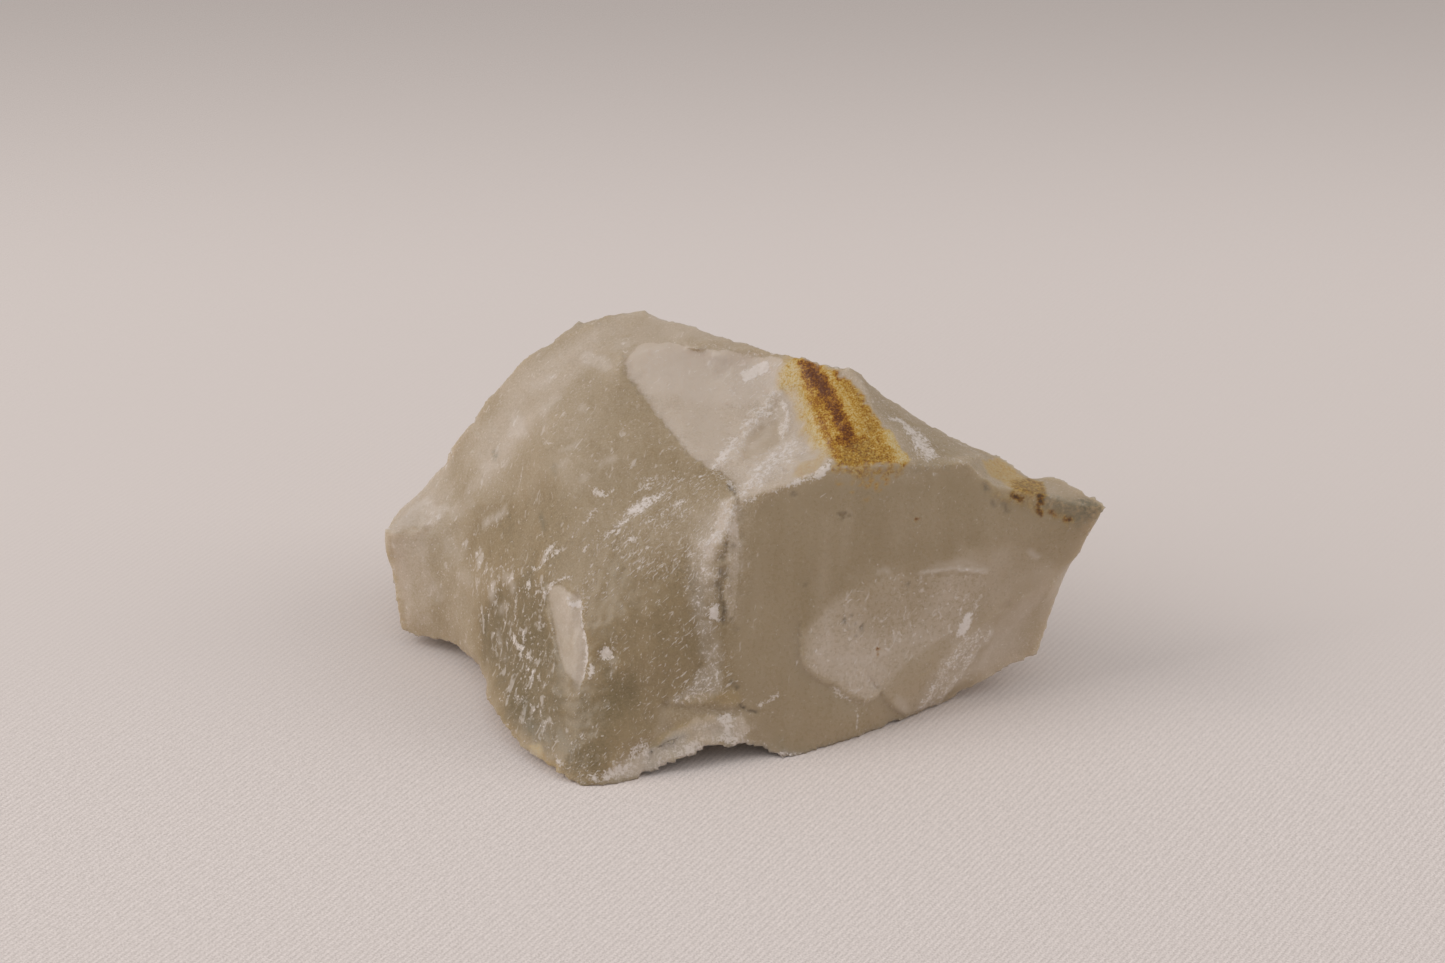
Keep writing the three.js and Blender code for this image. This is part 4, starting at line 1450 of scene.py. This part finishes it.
    def _relief(
        self, points: np.ndarray, layers: dict[str, np.ndarray], rim_distance: np.ndarray
    ) -> np.ndarray:
        """Height of the slow swell, of the grain, and of small chips along the rims.

        Args:
            points: places on the skin.
            layers: what the facets give.
            rim_distance: distance from the nearest sharp edge.

        Returns:
            One height per point.
        """
        grit = layers[Layer.GRIT.value]
        grain = self.grain_depth * grit * self.grain.layered(points, self.grain_size)
        swell = self.swell_depth * (self.swell_everywhere + grit)
        swell = swell * self.swell(points, self.swell_size)
        chips = smoothstep(*self.chip_noise, self.chips.layered(points, self.chip_size, 2))
        chips *= smoothstep(*self.chip_reach, rim_distance)
        return grain + swell - self.chip_depth * chips

    def _apply_marks(
        self, seen: SeenStone, skin: Skin, outward: np.ndarray, layers: dict[str, np.ndarray]
    ) -> np.ndarray:
        """Lays the marks on the skin, in their order.

        Args:
            seen: what turns the marks' points into places.
            skin: the skin.
            outward: direction out of the stone at each.
            layers: the layers, which are painted over.

        Returns:
            The height that the marks add, per point.
        """
        points = skin.points
        height = np.zeros(len(points))
        for number, mark in enumerate(MARKS):
            line = seen.lay(mark.points)
            low = line.min(axis=0) - self.mark_reach
            high = line.max(axis=0) + self.mark_reach
            near = np.flatnonzero(np.all((points > low) & (points < high), axis=1))
            if len(near) == 0:
                log.warning("mark %d lies off the stone", number)
                continue
            cover = self._cover(mark, line, points[near], outward[near])
            height[near] += cover * mark.height
            for layer, strength in mark.paint.items():
                values = layers[layer.value][near]
                layers[layer.value][near] = values + cover * (strength - values)
        return height

    def _cover(
        self, mark: Mark, line: np.ndarray, points: np.ndarray, outward: np.ndarray
    ) -> np.ndarray:
        """How much a mark covers each point, from 0 to 1.

        Args:
            mark: the mark.
            line: its own points, as places on the stone.
            points: places near it.
            outward: direction out of the stone at each.

        Returns:
            One number per point.
        """
        shift = mark.ragged * self.mark_borders.layered(points, mark.grain)
        if mark.closed:
            outline = Outline(line)
            inside = outline.depth_inside(points) + shift
            facing = smoothstep(*self.patch_facing, outward @ outline.normal)
            near = smoothstep(*self.patch_off, outline.distance_off(points))
            cover = smoothstep(-mark.soft / 2, mark.soft / 2, inside) * facing * near
        elif mark.one_sided:
            left = distance_left_of_line(points, outward, line) + shift
            cover = smoothstep(-mark.soft / 2, mark.soft / 2, left)
            cover *= smoothstep(mark.width, 0.0, left)
        else:
            distance = distance_to_line(points, line) + shift
            cover = smoothstep(mark.width + mark.soft / 2, mark.width - mark.soft / 2, distance)
        holes = self.mark_holes.layered(points, mark.grain * self.hole_size)
        return cover * (1.0 - mark.patchy * (1.0 - smoothstep(*self.hole_noise, holes)))

    def _to_object(
        self, mesh: bpy.types.Mesh, skin: Skin, layers: dict[str, np.ndarray]
    ) -> bpy.types.Object:
        """Writes the skin and its layers back to the mesh, in metres.

        Args:
            mesh: the mesh that carries the faces.
            skin: the finished skin.
            layers: what the material reads.

        Returns:
            The new object.
        """
        places = (skin.points - LAYOUT_ORIGIN) * MM
        places[:, 2] = np.maximum(places[:, 2], 0.0)
        mesh.vertices.foreach_set("co", places.reshape(-1))
        for name, values in layers.items():
            attribute = mesh.attributes.new(name, "FLOAT", "POINT")
            # milk below 0 comes only from the marks of painted shade low on the toe and the west
            # face
            lowest = -1.0 if name == Layer.MILK.value else 0.0  # below 0 the stone is clearer
            attribute.data.foreach_set("value", np.clip(values, lowest, 1.0).astype(np.float32))
        mesh.update()
        mesh.shade_smooth()
        lump = bpy.data.objects.new("aragonite_lump", mesh)
        bpy.context.scene.collection.objects.link(lump)
        return lump


def way_from(points: np.ndarray, start: np.ndarray, end: np.ndarray) -> np.ndarray:
    """The way to each point from the nearest place of a straight piece of line.

    Args:
        points: places.
        start: one end of the piece.
        end: its other end.

    Returns:
        One vector per point.
    """
    side = end - start
    share = np.clip((points - start) @ side / (side @ side), 0.0, 1.0)
    return points - start - share[:, None] * side


class Outline:
    """A closed outline through points that lie roughly in one plane."""

    def __init__(self, corners: np.ndarray) -> None:
        """Fits the plane.

        Args:
            corners: the outline's points, either way round; the stone's middle is inside.
        """
        self.middle = corners.mean(axis=0)
        _, _, axes = np.linalg.svd(corners - self.middle)
        self.across, self.along, normal = axes
        self.normal = normal if normal @ (self.middle - STONE_MIDDLE) > 0 else -normal
        self.ring = self._flat(corners)

    def _flat(self, points: np.ndarray) -> np.ndarray:
        """The points' places in the plane."""
        offset = points - self.middle
        return np.stack([offset @ self.across, offset @ self.along], axis=1)

    def distance_off(self, points: np.ndarray) -> np.ndarray:
        """Distance of each point from the plane."""
        return np.abs((points - self.middle) @ self.normal)

    def depth_inside(self, points: np.ndarray) -> np.ndarray:
        """How far inside the outline each point lies, below 0 outside it.

        Args:
            points: places near the plane.

        Returns:
            One signed distance per point.
        """
        flat = self._flat(points)
        inside = np.zeros(len(flat), bool)
        least = np.full(len(flat), np.inf)
        for start, end in zip(self.ring, np.roll(self.ring, -1, axis=0)):
            side = end - start
            least = np.minimum(least, np.linalg.norm(way_from(flat, start, end), axis=1))
            spans = (start[1] > flat[:, 1]) != (end[1] > flat[:, 1])
            rise = side[1] if side[1] else TINY
            crossing = start[0] + (flat[:, 1] - start[1]) * side[0] / rise
            inside ^= spans & (flat[:, 0] < crossing)
        return np.where(inside, least, -least)


def distance_to_line(points: np.ndarray, line: np.ndarray) -> np.ndarray:
    """Distance of each point from a line of points.

    Args:
        points: places.
        line: one or more points.

    Returns:
        One distance per point.
    """
    if len(line) == 1:
        return np.linalg.norm(points - line[0], axis=1)
    least = np.full(len(points), np.inf)
    for start, end in zip(line[:-1], line[1:]):
        least = np.minimum(least, np.linalg.norm(way_from(points, start, end), axis=1))
    return least


def distance_left_of_line(
    points: np.ndarray, outward: np.ndarray, line: np.ndarray
) -> np.ndarray:
    """Distance of each point from a line of points, below 0 on its right side.

    Args:
        points: places on the skin.
        outward: direction out of the stone at each.
        line: two or more points.

    Returns:
        One signed distance per point.
    """
    least = np.full(len(points), np.inf)
    result = np.full(len(points), -np.inf)
    for start, end in zip(line[:-1], line[1:]):
        way = way_from(points, start, end)
        far = np.linalg.norm(way, axis=1)
        left = np.sign(np.sum(way * np.cross(outward, end - start), axis=1))
        nearer = far < least
        least = np.where(nearer, far, least)
        result = np.where(nearer, left * far, result)
    return result


# ---- the material --------------------------------------------------------------------------


class Wire:
    """A socket that carries a value; arithmetic on it adds Math nodes."""

    def __init__(self, graph: "Graph", socket: bpy.types.NodeSocket) -> None:
        """Wraps an output socket of a node tree."""
        self.graph = graph
        self.socket = socket

    def _maths(self, operation: str, left: "Wire | float", right: "Wire | float") -> "Wire":
        """A Math node on two values."""
        return self.graph.node("ShaderNodeMath", {"operation": operation}, {0: left, 1: right})

    def __add__(self, other: "Wire | float") -> "Wire":
        """The sum."""
        return self._maths("ADD", self, other)

    def __radd__(self, other: float) -> "Wire":
        """The sum, with the number first."""
        return self._maths("ADD", other, self)

    def __sub__(self, other: "Wire | float") -> "Wire":
        """The difference."""
        return self._maths("SUBTRACT", self, other)

    def __rsub__(self, other: float) -> "Wire":
        """The difference, with the number first."""
        return self._maths("SUBTRACT", other, self)

    def __mul__(self, other: "Wire | float") -> "Wire":
        """The product."""
        return self._maths("MULTIPLY", self, other)

    def __rmul__(self, other: float) -> "Wire":
        """The product, with the number first."""
        return self._maths("MULTIPLY", other, self)


class Graph:
    """Adds nodes to one material's tree."""

    def __init__(self, material: bpy.types.Material) -> None:
        """Empties the material's tree.

        Args:
            material: the material to build.
        """
        material.use_nodes = True
        self.tree = material.node_tree
        self.tree.nodes.clear()

    def node(
        self, kind: str, settings: dict[str, object], inputs: dict[int | str, object],
        output: int | str = 0,
    ) -> Wire:
        """Adds a node of any kind.

        Args:
            kind: the node's type.
            settings: its own settings, and "stops" for a ramp's colours.
            inputs: values or wires, by the name or number of the socket.
            output: the socket that is returned.

        Returns:
            The wire from that socket.
        """
        made = self.tree.nodes.new(kind)
        for name, value in settings.items():
            if name == "stops":
                self._set_stops(made.color_ramp, value)
            else:
                setattr(made, name, value)
        for name, value in inputs.items():
            if isinstance(value, Wire):
                self.tree.links.new(value.socket, made.inputs[name])
            else:
                made.inputs[name].default_value = value
        return Wire(self, made.outputs[output])

    def _set_stops(self, ramp: bpy.types.ColorRamp, stops: list[tuple[float, Colour]]) -> None:
        """Gives a ramp its colours."""
        while len(ramp.elements) < len(stops):
            ramp.elements.new(1.0)
        for element, (position, colour) in zip(ramp.elements, stops):
            element.position = position
            element.color = (*colour, 1.0)

    def layer(self, layer: Layer) -> Wire:
        """The wire of one of the skin's layers."""
        return self.node("ShaderNodeAttribute", {"attribute_name": layer.value}, {}, "Fac")

    def mix(self, factor: Wire | float, base: Wire | Colour, top: Wire | Colour) -> Wire:
        """Mixes two colours.

        Args:
            factor: 0 for the base, 1 for the top.
            base: a wire or a colour.
            top: a wire or a colour.

        Returns:
            The mixed colour.
        """
        a, b = (value if isinstance(value, Wire) else (*value, 1.0) for value in (base, top))
        return self.node("ShaderNodeMix", {"data_type": "RGBA"}, {0: factor, 6: a, 7: b}, 2)

    def step(self, value: Wire, low: float, high: float) -> Wire:
        """A smooth rise from 0 to 1 between two values."""
        return self.node(
            "ShaderNodeMapRange", {"interpolation_type": "SMOOTHSTEP"},
            {"Value": value, "From Min": low, "From Max": high},
        )

    def stretched(self, along: Point, stretch: float) -> Wire:
        """Object coordinates in millimetres, drawn out along one direction.

        Args:
            along: the direction, in the frame's axes.
            stretch: how many times longer a pattern is along it.

        Returns:
            The coordinates.
        """
        place = self.node("ShaderNodeTexCoord", {}, {}, "Object")
        turn = Vector(along).to_track_quat("X", "Z").inverted().to_euler()
        turned = self.node("ShaderNodeMapping", {"vector_type": "POINT"},
                           {"Vector": place, "Rotation": turn})
        scale = (1 / MM / stretch, 1 / MM, 1 / MM)
        return self.node("ShaderNodeVectorMath", {"operation": "MULTIPLY"}, {0: turned, 1: scale})

    def cloud(
        self, where: Wire, size: float, detail: float = 2.0, rough: float = 0.5, twist: float = 0.0
    ) -> Wire:
        """Soft noise of 0 to 1.

        Args:
            where: coordinates in millimetres.
            size: size of its bumps.
            detail: how many finer layers it has.
            rough: how strong they are.
            twist: how far its bumps are bent.

        Returns:
            The noise.
        """
        return self.node("ShaderNodeTexNoise", {}, {
            "Vector": where, "Scale": 1 / size, "Detail": detail, "Roughness": rough,
            "Distortion": twist,
        })

    def finish(self, shader: Wire) -> None:
        """Gives the material its finished shader."""
        output = self.tree.nodes.new("ShaderNodeOutputMaterial")
        self.tree.links.new(shader.socket, output.inputs["Surface"])


@dataclass(frozen=True)
class Speckle:
    """Small white marks: where a noise passes an edge, which a layer brings nearer."""

    size: float
    detail: float
    nearer: float
    edge: tuple[float, float]
    strength: float
    rough: float = 0.5
    twist: float = 0.0

    def build(self, graph: Graph, where: Wire, amount: Wire) -> Wire:
        """The cover of the marks.

        Args:
            graph: where the nodes go.
            where: coordinates in millimetres.
            amount: the layer.

        Returns:
            A wire of 0 to the marks' strength.
        """
        noise = graph.cloud(where, self.size, self.detail, self.rough, self.twist)
        return self.strength * graph.step(noise + self.nearer * amount, *self.edge)


@dataclass(frozen=True)
class MilkyAragonite:
    """Cloudy, faintly see-through stone with white bruises, flecks and iron stain."""

    # the darkest, clearest stone, where the milk layer drops below 0; on the low toe and west face
    # it is painted shade
    deep_and_shade: Colour = (0.192, 0.141, 0.064)
    clear: Colour = (0.334, 0.245, 0.133)
    cloudy: Colour = (0.454, 0.359, 0.244)
    milky: Colour = (0.608, 0.512, 0.414)
    frost: Colour = (0.780, 0.705, 0.650)
    moss: Colour = (0.110, 0.108, 0.065)
    soot: Colour = (0.050, 0.040, 0.026)
    iron: tuple[tuple[float, Colour], ...] = (
        (0.00, (0.640, 0.515, 0.285)),
        (0.20, (0.600, 0.425, 0.145)),
        (0.45, (0.505, 0.275, 0.026)),
        (0.70, (0.310, 0.115, 0.002)),
        (1.00, (0.120, 0.030, 0.001)),
    )
    scatter_weight: float = 0.55
    scatter_radius: tuple[float, float, float] = (1.0, 0.88, 0.74)
    scatter_scale: float = 0.0035
    refraction: float = 1.53
    crust_shine: float = 0.36
    matte: float = 0.62
    polish_gloss: float = 0.34
    frost_matte: float = 0.18
    uneven_matte: float = 0.12
    frost_cover: float = 1.3
    stain_cover: float = 0.8
    bump_strength: float = 0.6
    bump_depth: float = 0.16
    fleck_direction: Point = (0.765, 0.40, 0.504)
    fleck_stretch: float = 4.5
    cross_direction: Point = (0.30, 0.50, 0.81)
    cross_stretch: float = 3.0
    blot_stretch: float = 1.7
    upright: Point = (0.05, 0.45, 0.89)
    upright_stretch: float = 6.0
    fine_size: float = 0.45
    grain_size: float = 0.2
    rim_size: float = 1.7
    crowd_size: float = 4.5
    cloud_size: float = 6.0
    veil_size: float = 2.2
    hackle_size: float = 0.5
    clear_at: float = 0.25
    cloudy_at: float = 0.62
    rim_frost: float = 0.3
    haze_white: float = 0.65
    hairs: Speckle = Speckle(
        size=0.24, detail=1.0, nearer=0.17, edge=(0.75, 0.84), strength=0.55, twist=0.5
    )
    long_hairs: Speckle = Speckle(
        size=0.42, detail=2.0, nearer=0.14, edge=(0.76, 0.84), strength=0.42, rough=0.6, twist=0.8
    )
    cross_hairs: Speckle = Speckle(
        size=0.22, detail=1.0, nearer=0.15, edge=(0.74, 0.84), strength=0.42, twist=0.5
    )
    blots: Speckle = Speckle(
        size=0.95, detail=3.0, nearer=0.14, edge=(0.67, 0.79), strength=0.45, rough=0.6, twist=0.6
    )
    dots: Speckle = Speckle(size=0.5, detail=1.0, nearer=0.13, edge=(0.76, 0.84), strength=0.5)

    def build(self) -> bpy.types.Material:
        """Makes the material.

        Returns:
            The material.
        """
        material = bpy.data.materials.new("milky_aragonite")
        graph = Graph(material)
        here = graph.stretched((1.0, 0.0, 0.0), 1.0)
        drawn = graph.stretched(self.fleck_direction, self.fleck_stretch)
        fine = graph.cloud(here, self.fine_size, detail=3.0, rough=0.6)
        grain = graph.cloud(here, self.grain_size, detail=1.0)
        frost = self._frost(graph, here, drawn, fine, grain)
        rust = graph.layer(Layer.IRON)
        stain = graph.step(rust + 0.5 * (fine - MIDDLE) * rust, 0.05, 0.85)
        polish = graph.layer(Layer.POLISH)
        finish = {
            "Base Color": self._colour(graph, here, fine, grain, frost, stain),
            "Roughness": self.matte - self.polish_gloss * polish + self.frost_matte * frost
            + self.uneven_matte * (fine - MIDDLE),
            "Normal": graph.node("ShaderNodeBump", {}, {
                "Strength": self.bump_strength, "Distance": self.bump_depth * MM,
                "Height": self._bumps(graph, drawn, fine, frost),
            }),
            "IOR": self.refraction,
        }
        body = graph.node("ShaderNodeBsdfPrincipled", {"subsurface_method": "RANDOM_WALK"}, {
            **finish,
            "Subsurface Weight": self.scatter_weight,
            "Subsurface Radius": self.scatter_radius,
            "Subsurface Scale": self.scatter_scale,
        })
        crust = graph.node("ShaderNodeBsdfPrincipled", {}, {
            **finish, "Specular IOR Level": self.crust_shine,
        })
        cover = graph.node("ShaderNodeClamp", {}, {
            0: self.frost_cover * frost + self.stain_cover * stain + graph.layer(Layer.SOOT),
        })
        graph.finish(graph.node("ShaderNodeMixShader", {}, {0: cover, 1: body, 2: crust}))
        return material

    def _frost(self, graph: Graph, here: Wire, drawn: Wire, fine: Wire, grain: Wire) -> Wire:
        """White powder, hairlines, blotches and haze together, 0 to 1.

        Args:
            graph: where the nodes go.
            here: plain coordinates.
            drawn: coordinates drawn out along the hairlines.
            fine: fine noise.
            grain: finer noise.

        Returns:
            The cover of white.
        """
        gaps = graph.step(graph.cloud(here, self.rim_size, detail=3.0), 0.42, 0.68)
        rim = graph.layer(Layer.RIM) * gaps
        crushed = graph.layer(Layer.FROST) + self.rim_frost * rim
        powder = graph.step(crushed + 1.5 * (fine - MIDDLE) + 1.2 * (grain - MIDDLE), 0.28, 0.80)
        crowd = graph.step(graph.cloud(here, self.crowd_size, detail=3.0), 0.35, 0.65)
        fleck = graph.layer(Layer.FLECK) * (0.5 + 0.5 * crowd)
        snow = graph.layer(Layer.SNOW)
        across = graph.stretched(self.cross_direction, self.cross_stretch)
        wide = graph.stretched(self.cross_direction, self.blot_stretch)
        haze = graph.layer(Layer.HAZE) * (0.55 + 0.9 * (fine - 0.1))
        white = powder * (0.4 + 0.65 * fine)
        for speckle, where, amount in (
            (self.hairs, drawn, fleck), (self.long_hairs, drawn, fleck),
            (self.cross_hairs, across, fleck), (self.blots, wide, snow), (self.dots, here, snow),
        ):
            white = white + speckle.build(graph, where, amount)
        return graph.node("ShaderNodeClamp", {}, {0: white + self.haze_white * haze})

    def _colour(
        self, graph: Graph, here: Wire, fine: Wire, grain: Wire, frost: Wire, stain: Wire
    ) -> Wire:
        """The stone's colour all over.

        Args:
            graph: where the nodes go.
            here: plain coordinates.
            fine: fine noise.
            grain: finer noise.
            frost: cover of white.
            stain: cover of rust.

        Returns:
            The colour.
        """
        cloud = graph.cloud(here, self.cloud_size, detail=4.0)
        upright = graph.stretched(self.upright, self.upright_stretch)
        veil = graph.cloud(upright, self.veil_size, detail=2.0)
        uneven = 0.85 - 0.6 * graph.layer(Layer.POLISH)
        level = graph.layer(Layer.PALE)
        pale = graph.step(level + 0.25 * (fine - MIDDLE), 0.44, 0.56) * (1.4 * level - 0.4)
        grit = graph.layer(Layer.GRIT)
        milk = graph.layer(Layer.MILK) + 0.6 * pale + uneven * (cloud - MIDDLE)
        milk = milk + 0.3 * (veil - MIDDLE) + (0.1 + 0.5 * grit) * (fine - MIDDLE)
        milk = milk + (0.4 * uneven + 0.7 * grit) * (grain - MIDDLE)
        base = graph.node("ShaderNodeValToRGB", {"stops": [
            (0.0, self.deep_and_shade), (self.clear_at, self.clear), (self.cloudy_at, self.cloudy),
            (1.0, self.milky),
        ]}, {"Fac": self.clear_at + (1.0 - self.clear_at) * milk})
        iron_depth = graph.layer(Layer.DEPTH_OF_IRON) + 0.8 * (fine - MIDDLE)
        iron_depth = iron_depth + 1.1 * (grain - MIDDLE)
        rust = graph.node("ShaderNodeValToRGB", {"stops": list(self.iron)}, {"Fac": iron_depth})
        stained = graph.mix(stain, graph.mix(frost, base, self.frost), rust)
        mossy = graph.mix(graph.layer(Layer.MOSS) * graph.step(fine, 0.3, 0.6), stained, self.moss)
        return graph.mix(graph.layer(Layer.SOOT), mossy, self.soot)

    def _bumps(self, graph: Graph, drawn: Wire, fine: Wire, frost: Wire) -> Wire:
        """Height of the fine grain, of the hackles and of the powder.

        Args:
            graph: where the nodes go.
            drawn: coordinates drawn out along the hackles.
            fine: fine noise.
            frost: cover of white.

        Returns:
            The height, of about 0 to 2.
        """
        grit = graph.layer(Layer.GRIT)
        hackle = graph.cloud(drawn, self.hackle_size, detail=2.0)
        return grit * fine + 0.6 * grit * hackle + 0.5 * frost


@dataclass(frozen=True)
class PaleCloth:
    """A plain pale cloth with a faint twill weave, whose ribs show near the front only; it is
    painted darker towards the back as painted light falloff.
    """

    WAVE_SCALE: ClassVar[float] = 0.314  # at this scale a Wave node's bands lie 1 mm apart

    colour: Colour = (0.950, 0.870, 0.833)
    shade: Colour = (0.665, 0.604, 0.571)
    across_ribs: Point = (0.51, 0.86, 0.0)
    rib: float = 0.69
    rib_share: float = 0.45
    speck_size: float = 0.9
    speck_share: float = 0.7
    fibre_size: float = 0.22
    fibre_share: float = 2.4
    weave_middle: float = 1.78
    weave_strength: float = 0.8
    weave_ends: tuple[float, float] = (0.02, -0.035)
    # painted shade: the cloth turns darker towards the back, where the light falls off
    far: Colour = (0.540, 0.491, 0.464)
    falloff_shade_ends: tuple[float, float] = (0.10, 0.28)
    roughness: float = 0.95
    bump_strength: float = 0.3
    bump_depth: float = 0.1

    def build(self) -> bpy.types.Material:
        """Makes the material.

        Returns:
            The material.
        """
        material = bpy.data.materials.new("pale_cloth")
        graph = Graph(material)
        weave = graph.stretched(self.across_ribs, 1.0)
        ribs = graph.node("ShaderNodeTexWave", {"bands_direction": "Y"}, {
            "Vector": weave, "Scale": self.WAVE_SCALE / self.rib, "Distortion": 0.5, "Detail": 1.0,
        }, "Fac")
        speck = graph.cloud(weave, self.speck_size, detail=2.0)
        fibre = graph.cloud(weave, self.fibre_size, detail=1.0)
        place = graph.node("ShaderNodeTexCoord", {}, {}, "Object")
        depth = graph.node("ShaderNodeSeparateXYZ", {}, {0: place}, "Y")
        lift = self.weave_strength * graph.step(depth, *self.weave_ends)
        threads = self.rib_share * ribs + self.speck_share * speck + self.fibre_share * fibre
        weft = 0.5 + lift * (threads - self.weave_middle)
        near = graph.mix(weft, self.shade, self.colour)
        # painted shade: mixes towards the darker far colour with depth, as light falloff
        tint = graph.mix(graph.step(depth, *self.falloff_shade_ends), near, self.far)
        bump = graph.node("ShaderNodeBump", {}, {
            "Strength": self.bump_strength, "Distance": self.bump_depth * MM,
            "Height": 0.6 * ribs + 0.4 * speck,
        })
        shader = graph.node("ShaderNodeBsdfPrincipled", {}, {
            "Base Color": tint, "Roughness": self.roughness, "Normal": bump,
        })
        graph.finish(shader)
        return material


# ---- the studio ----------------------------------------------------------------------------


@dataclass(frozen=True)
class Lamp:
    """A square soft light."""

    name: str
    place: Point
    side: float
    watts: float
    colour: Colour = (1.0, 0.965, 0.94)

    def build(self, target: Point) -> bpy.types.Object:
        """Makes the light, turned to a target.

        Args:
            target: where it points, in metres.

        Returns:
            The light.
        """
        data = bpy.data.lights.new(self.name, "AREA")
        data.shape = "SQUARE"
        data.size = self.side
        data.energy = self.watts
        data.color = self.colour
        lamp = bpy.data.objects.new(self.name, data)
        lamp.location = self.place
        aim = Vector(target) - Vector(self.place)
        lamp.rotation_euler = aim.to_track_quat("-Z", "Y").to_euler()
        bpy.context.scene.collection.objects.link(lamp)
        return lamp


@dataclass(frozen=True)
class Studio:
    """Floor, soft light and camera.

    Lengths are in metres.
    """

    nearest: float = 0.01
    floor_half: float = 3.0
    lit_point: Point = (0.0, 0.0, 0.015)
    sky: Colour = (0.935, 0.908, 0.905)
    sky_strength: float = 0.50
    lamps: tuple[Lamp, ...] = (
        Lamp("left_window", place=(-0.99, -0.15, 0.75), side=0.75, watts=5.9),
        Lamp("right_window", place=(0.99, 0.06, 0.66), side=0.75, watts=2.8),
    )

    def build(self) -> None:
        """Makes everything that isn't the stone."""
        floor = self._floor()
        for lamp in self.lamps:
            lamp.build(self.lit_point)
        world = bpy.data.worlds.new("studio")
        world.use_nodes = True
        background = world.node_tree.nodes["Background"]
        background.inputs["Color"].default_value = (*self.sky, 1.0)
        background.inputs["Strength"].default_value = self.sky_strength
        bpy.context.scene.world = world
        bpy.context.scene.view_settings.view_transform = "Standard"
        self._camera()

    def _floor(self) -> bpy.types.Object:
        """The cloth that the stone lies on.

        Returns:
            The floor.
        """
        half = self.floor_half
        mesh = bpy.data.meshes.new("floor")
        corners = [(-half, -half, 0), (half, -half, 0), (half, half, 0), (-half, half, 0)]
        mesh.from_pydata(corners, [], [(0, 1, 2, 3)])
        mesh.materials.append(PaleCloth().build())
        floor = bpy.data.objects.new("floor", mesh)
        bpy.context.scene.collection.objects.link(floor)
        return floor

    def _camera(self) -> bpy.types.Object:
        """The camera, at the viewpoint.

        Returns:
            The camera.
        """
        data = bpy.data.cameras.new("camera")
        data.lens = VIEWPOINT.lens
        data.sensor_width = VIEWPOINT.sensor
        data.sensor_fit = "HORIZONTAL"
        data.clip_start = self.nearest
        camera = bpy.data.objects.new("camera", data)
        camera.location = (VIEWPOINT.place() - LAYOUT_ORIGIN) * MM
        camera.rotation_euler = (math.radians(90.0 - VIEWPOINT.elevation), 0.0, 0.0)
        bpy.context.scene.collection.objects.link(camera)
        bpy.context.scene.camera = camera
        return camera


def main() -> None:
    """Builds the stone and the studio."""
    logging.basicConfig(level=logging.INFO, format="%(message)s")
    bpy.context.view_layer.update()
    lump = StoneSkin().build(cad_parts["stone"])
    lump.data.materials.clear()
    lump.data.materials.append(MilkyAragonite().build())
    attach(lump, "root")
    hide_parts("stone")
    log.info("%s: %d faces", lump.name, len(lump.data.polygons))
    Studio().build()


if __name__ == "__main__":
    main()
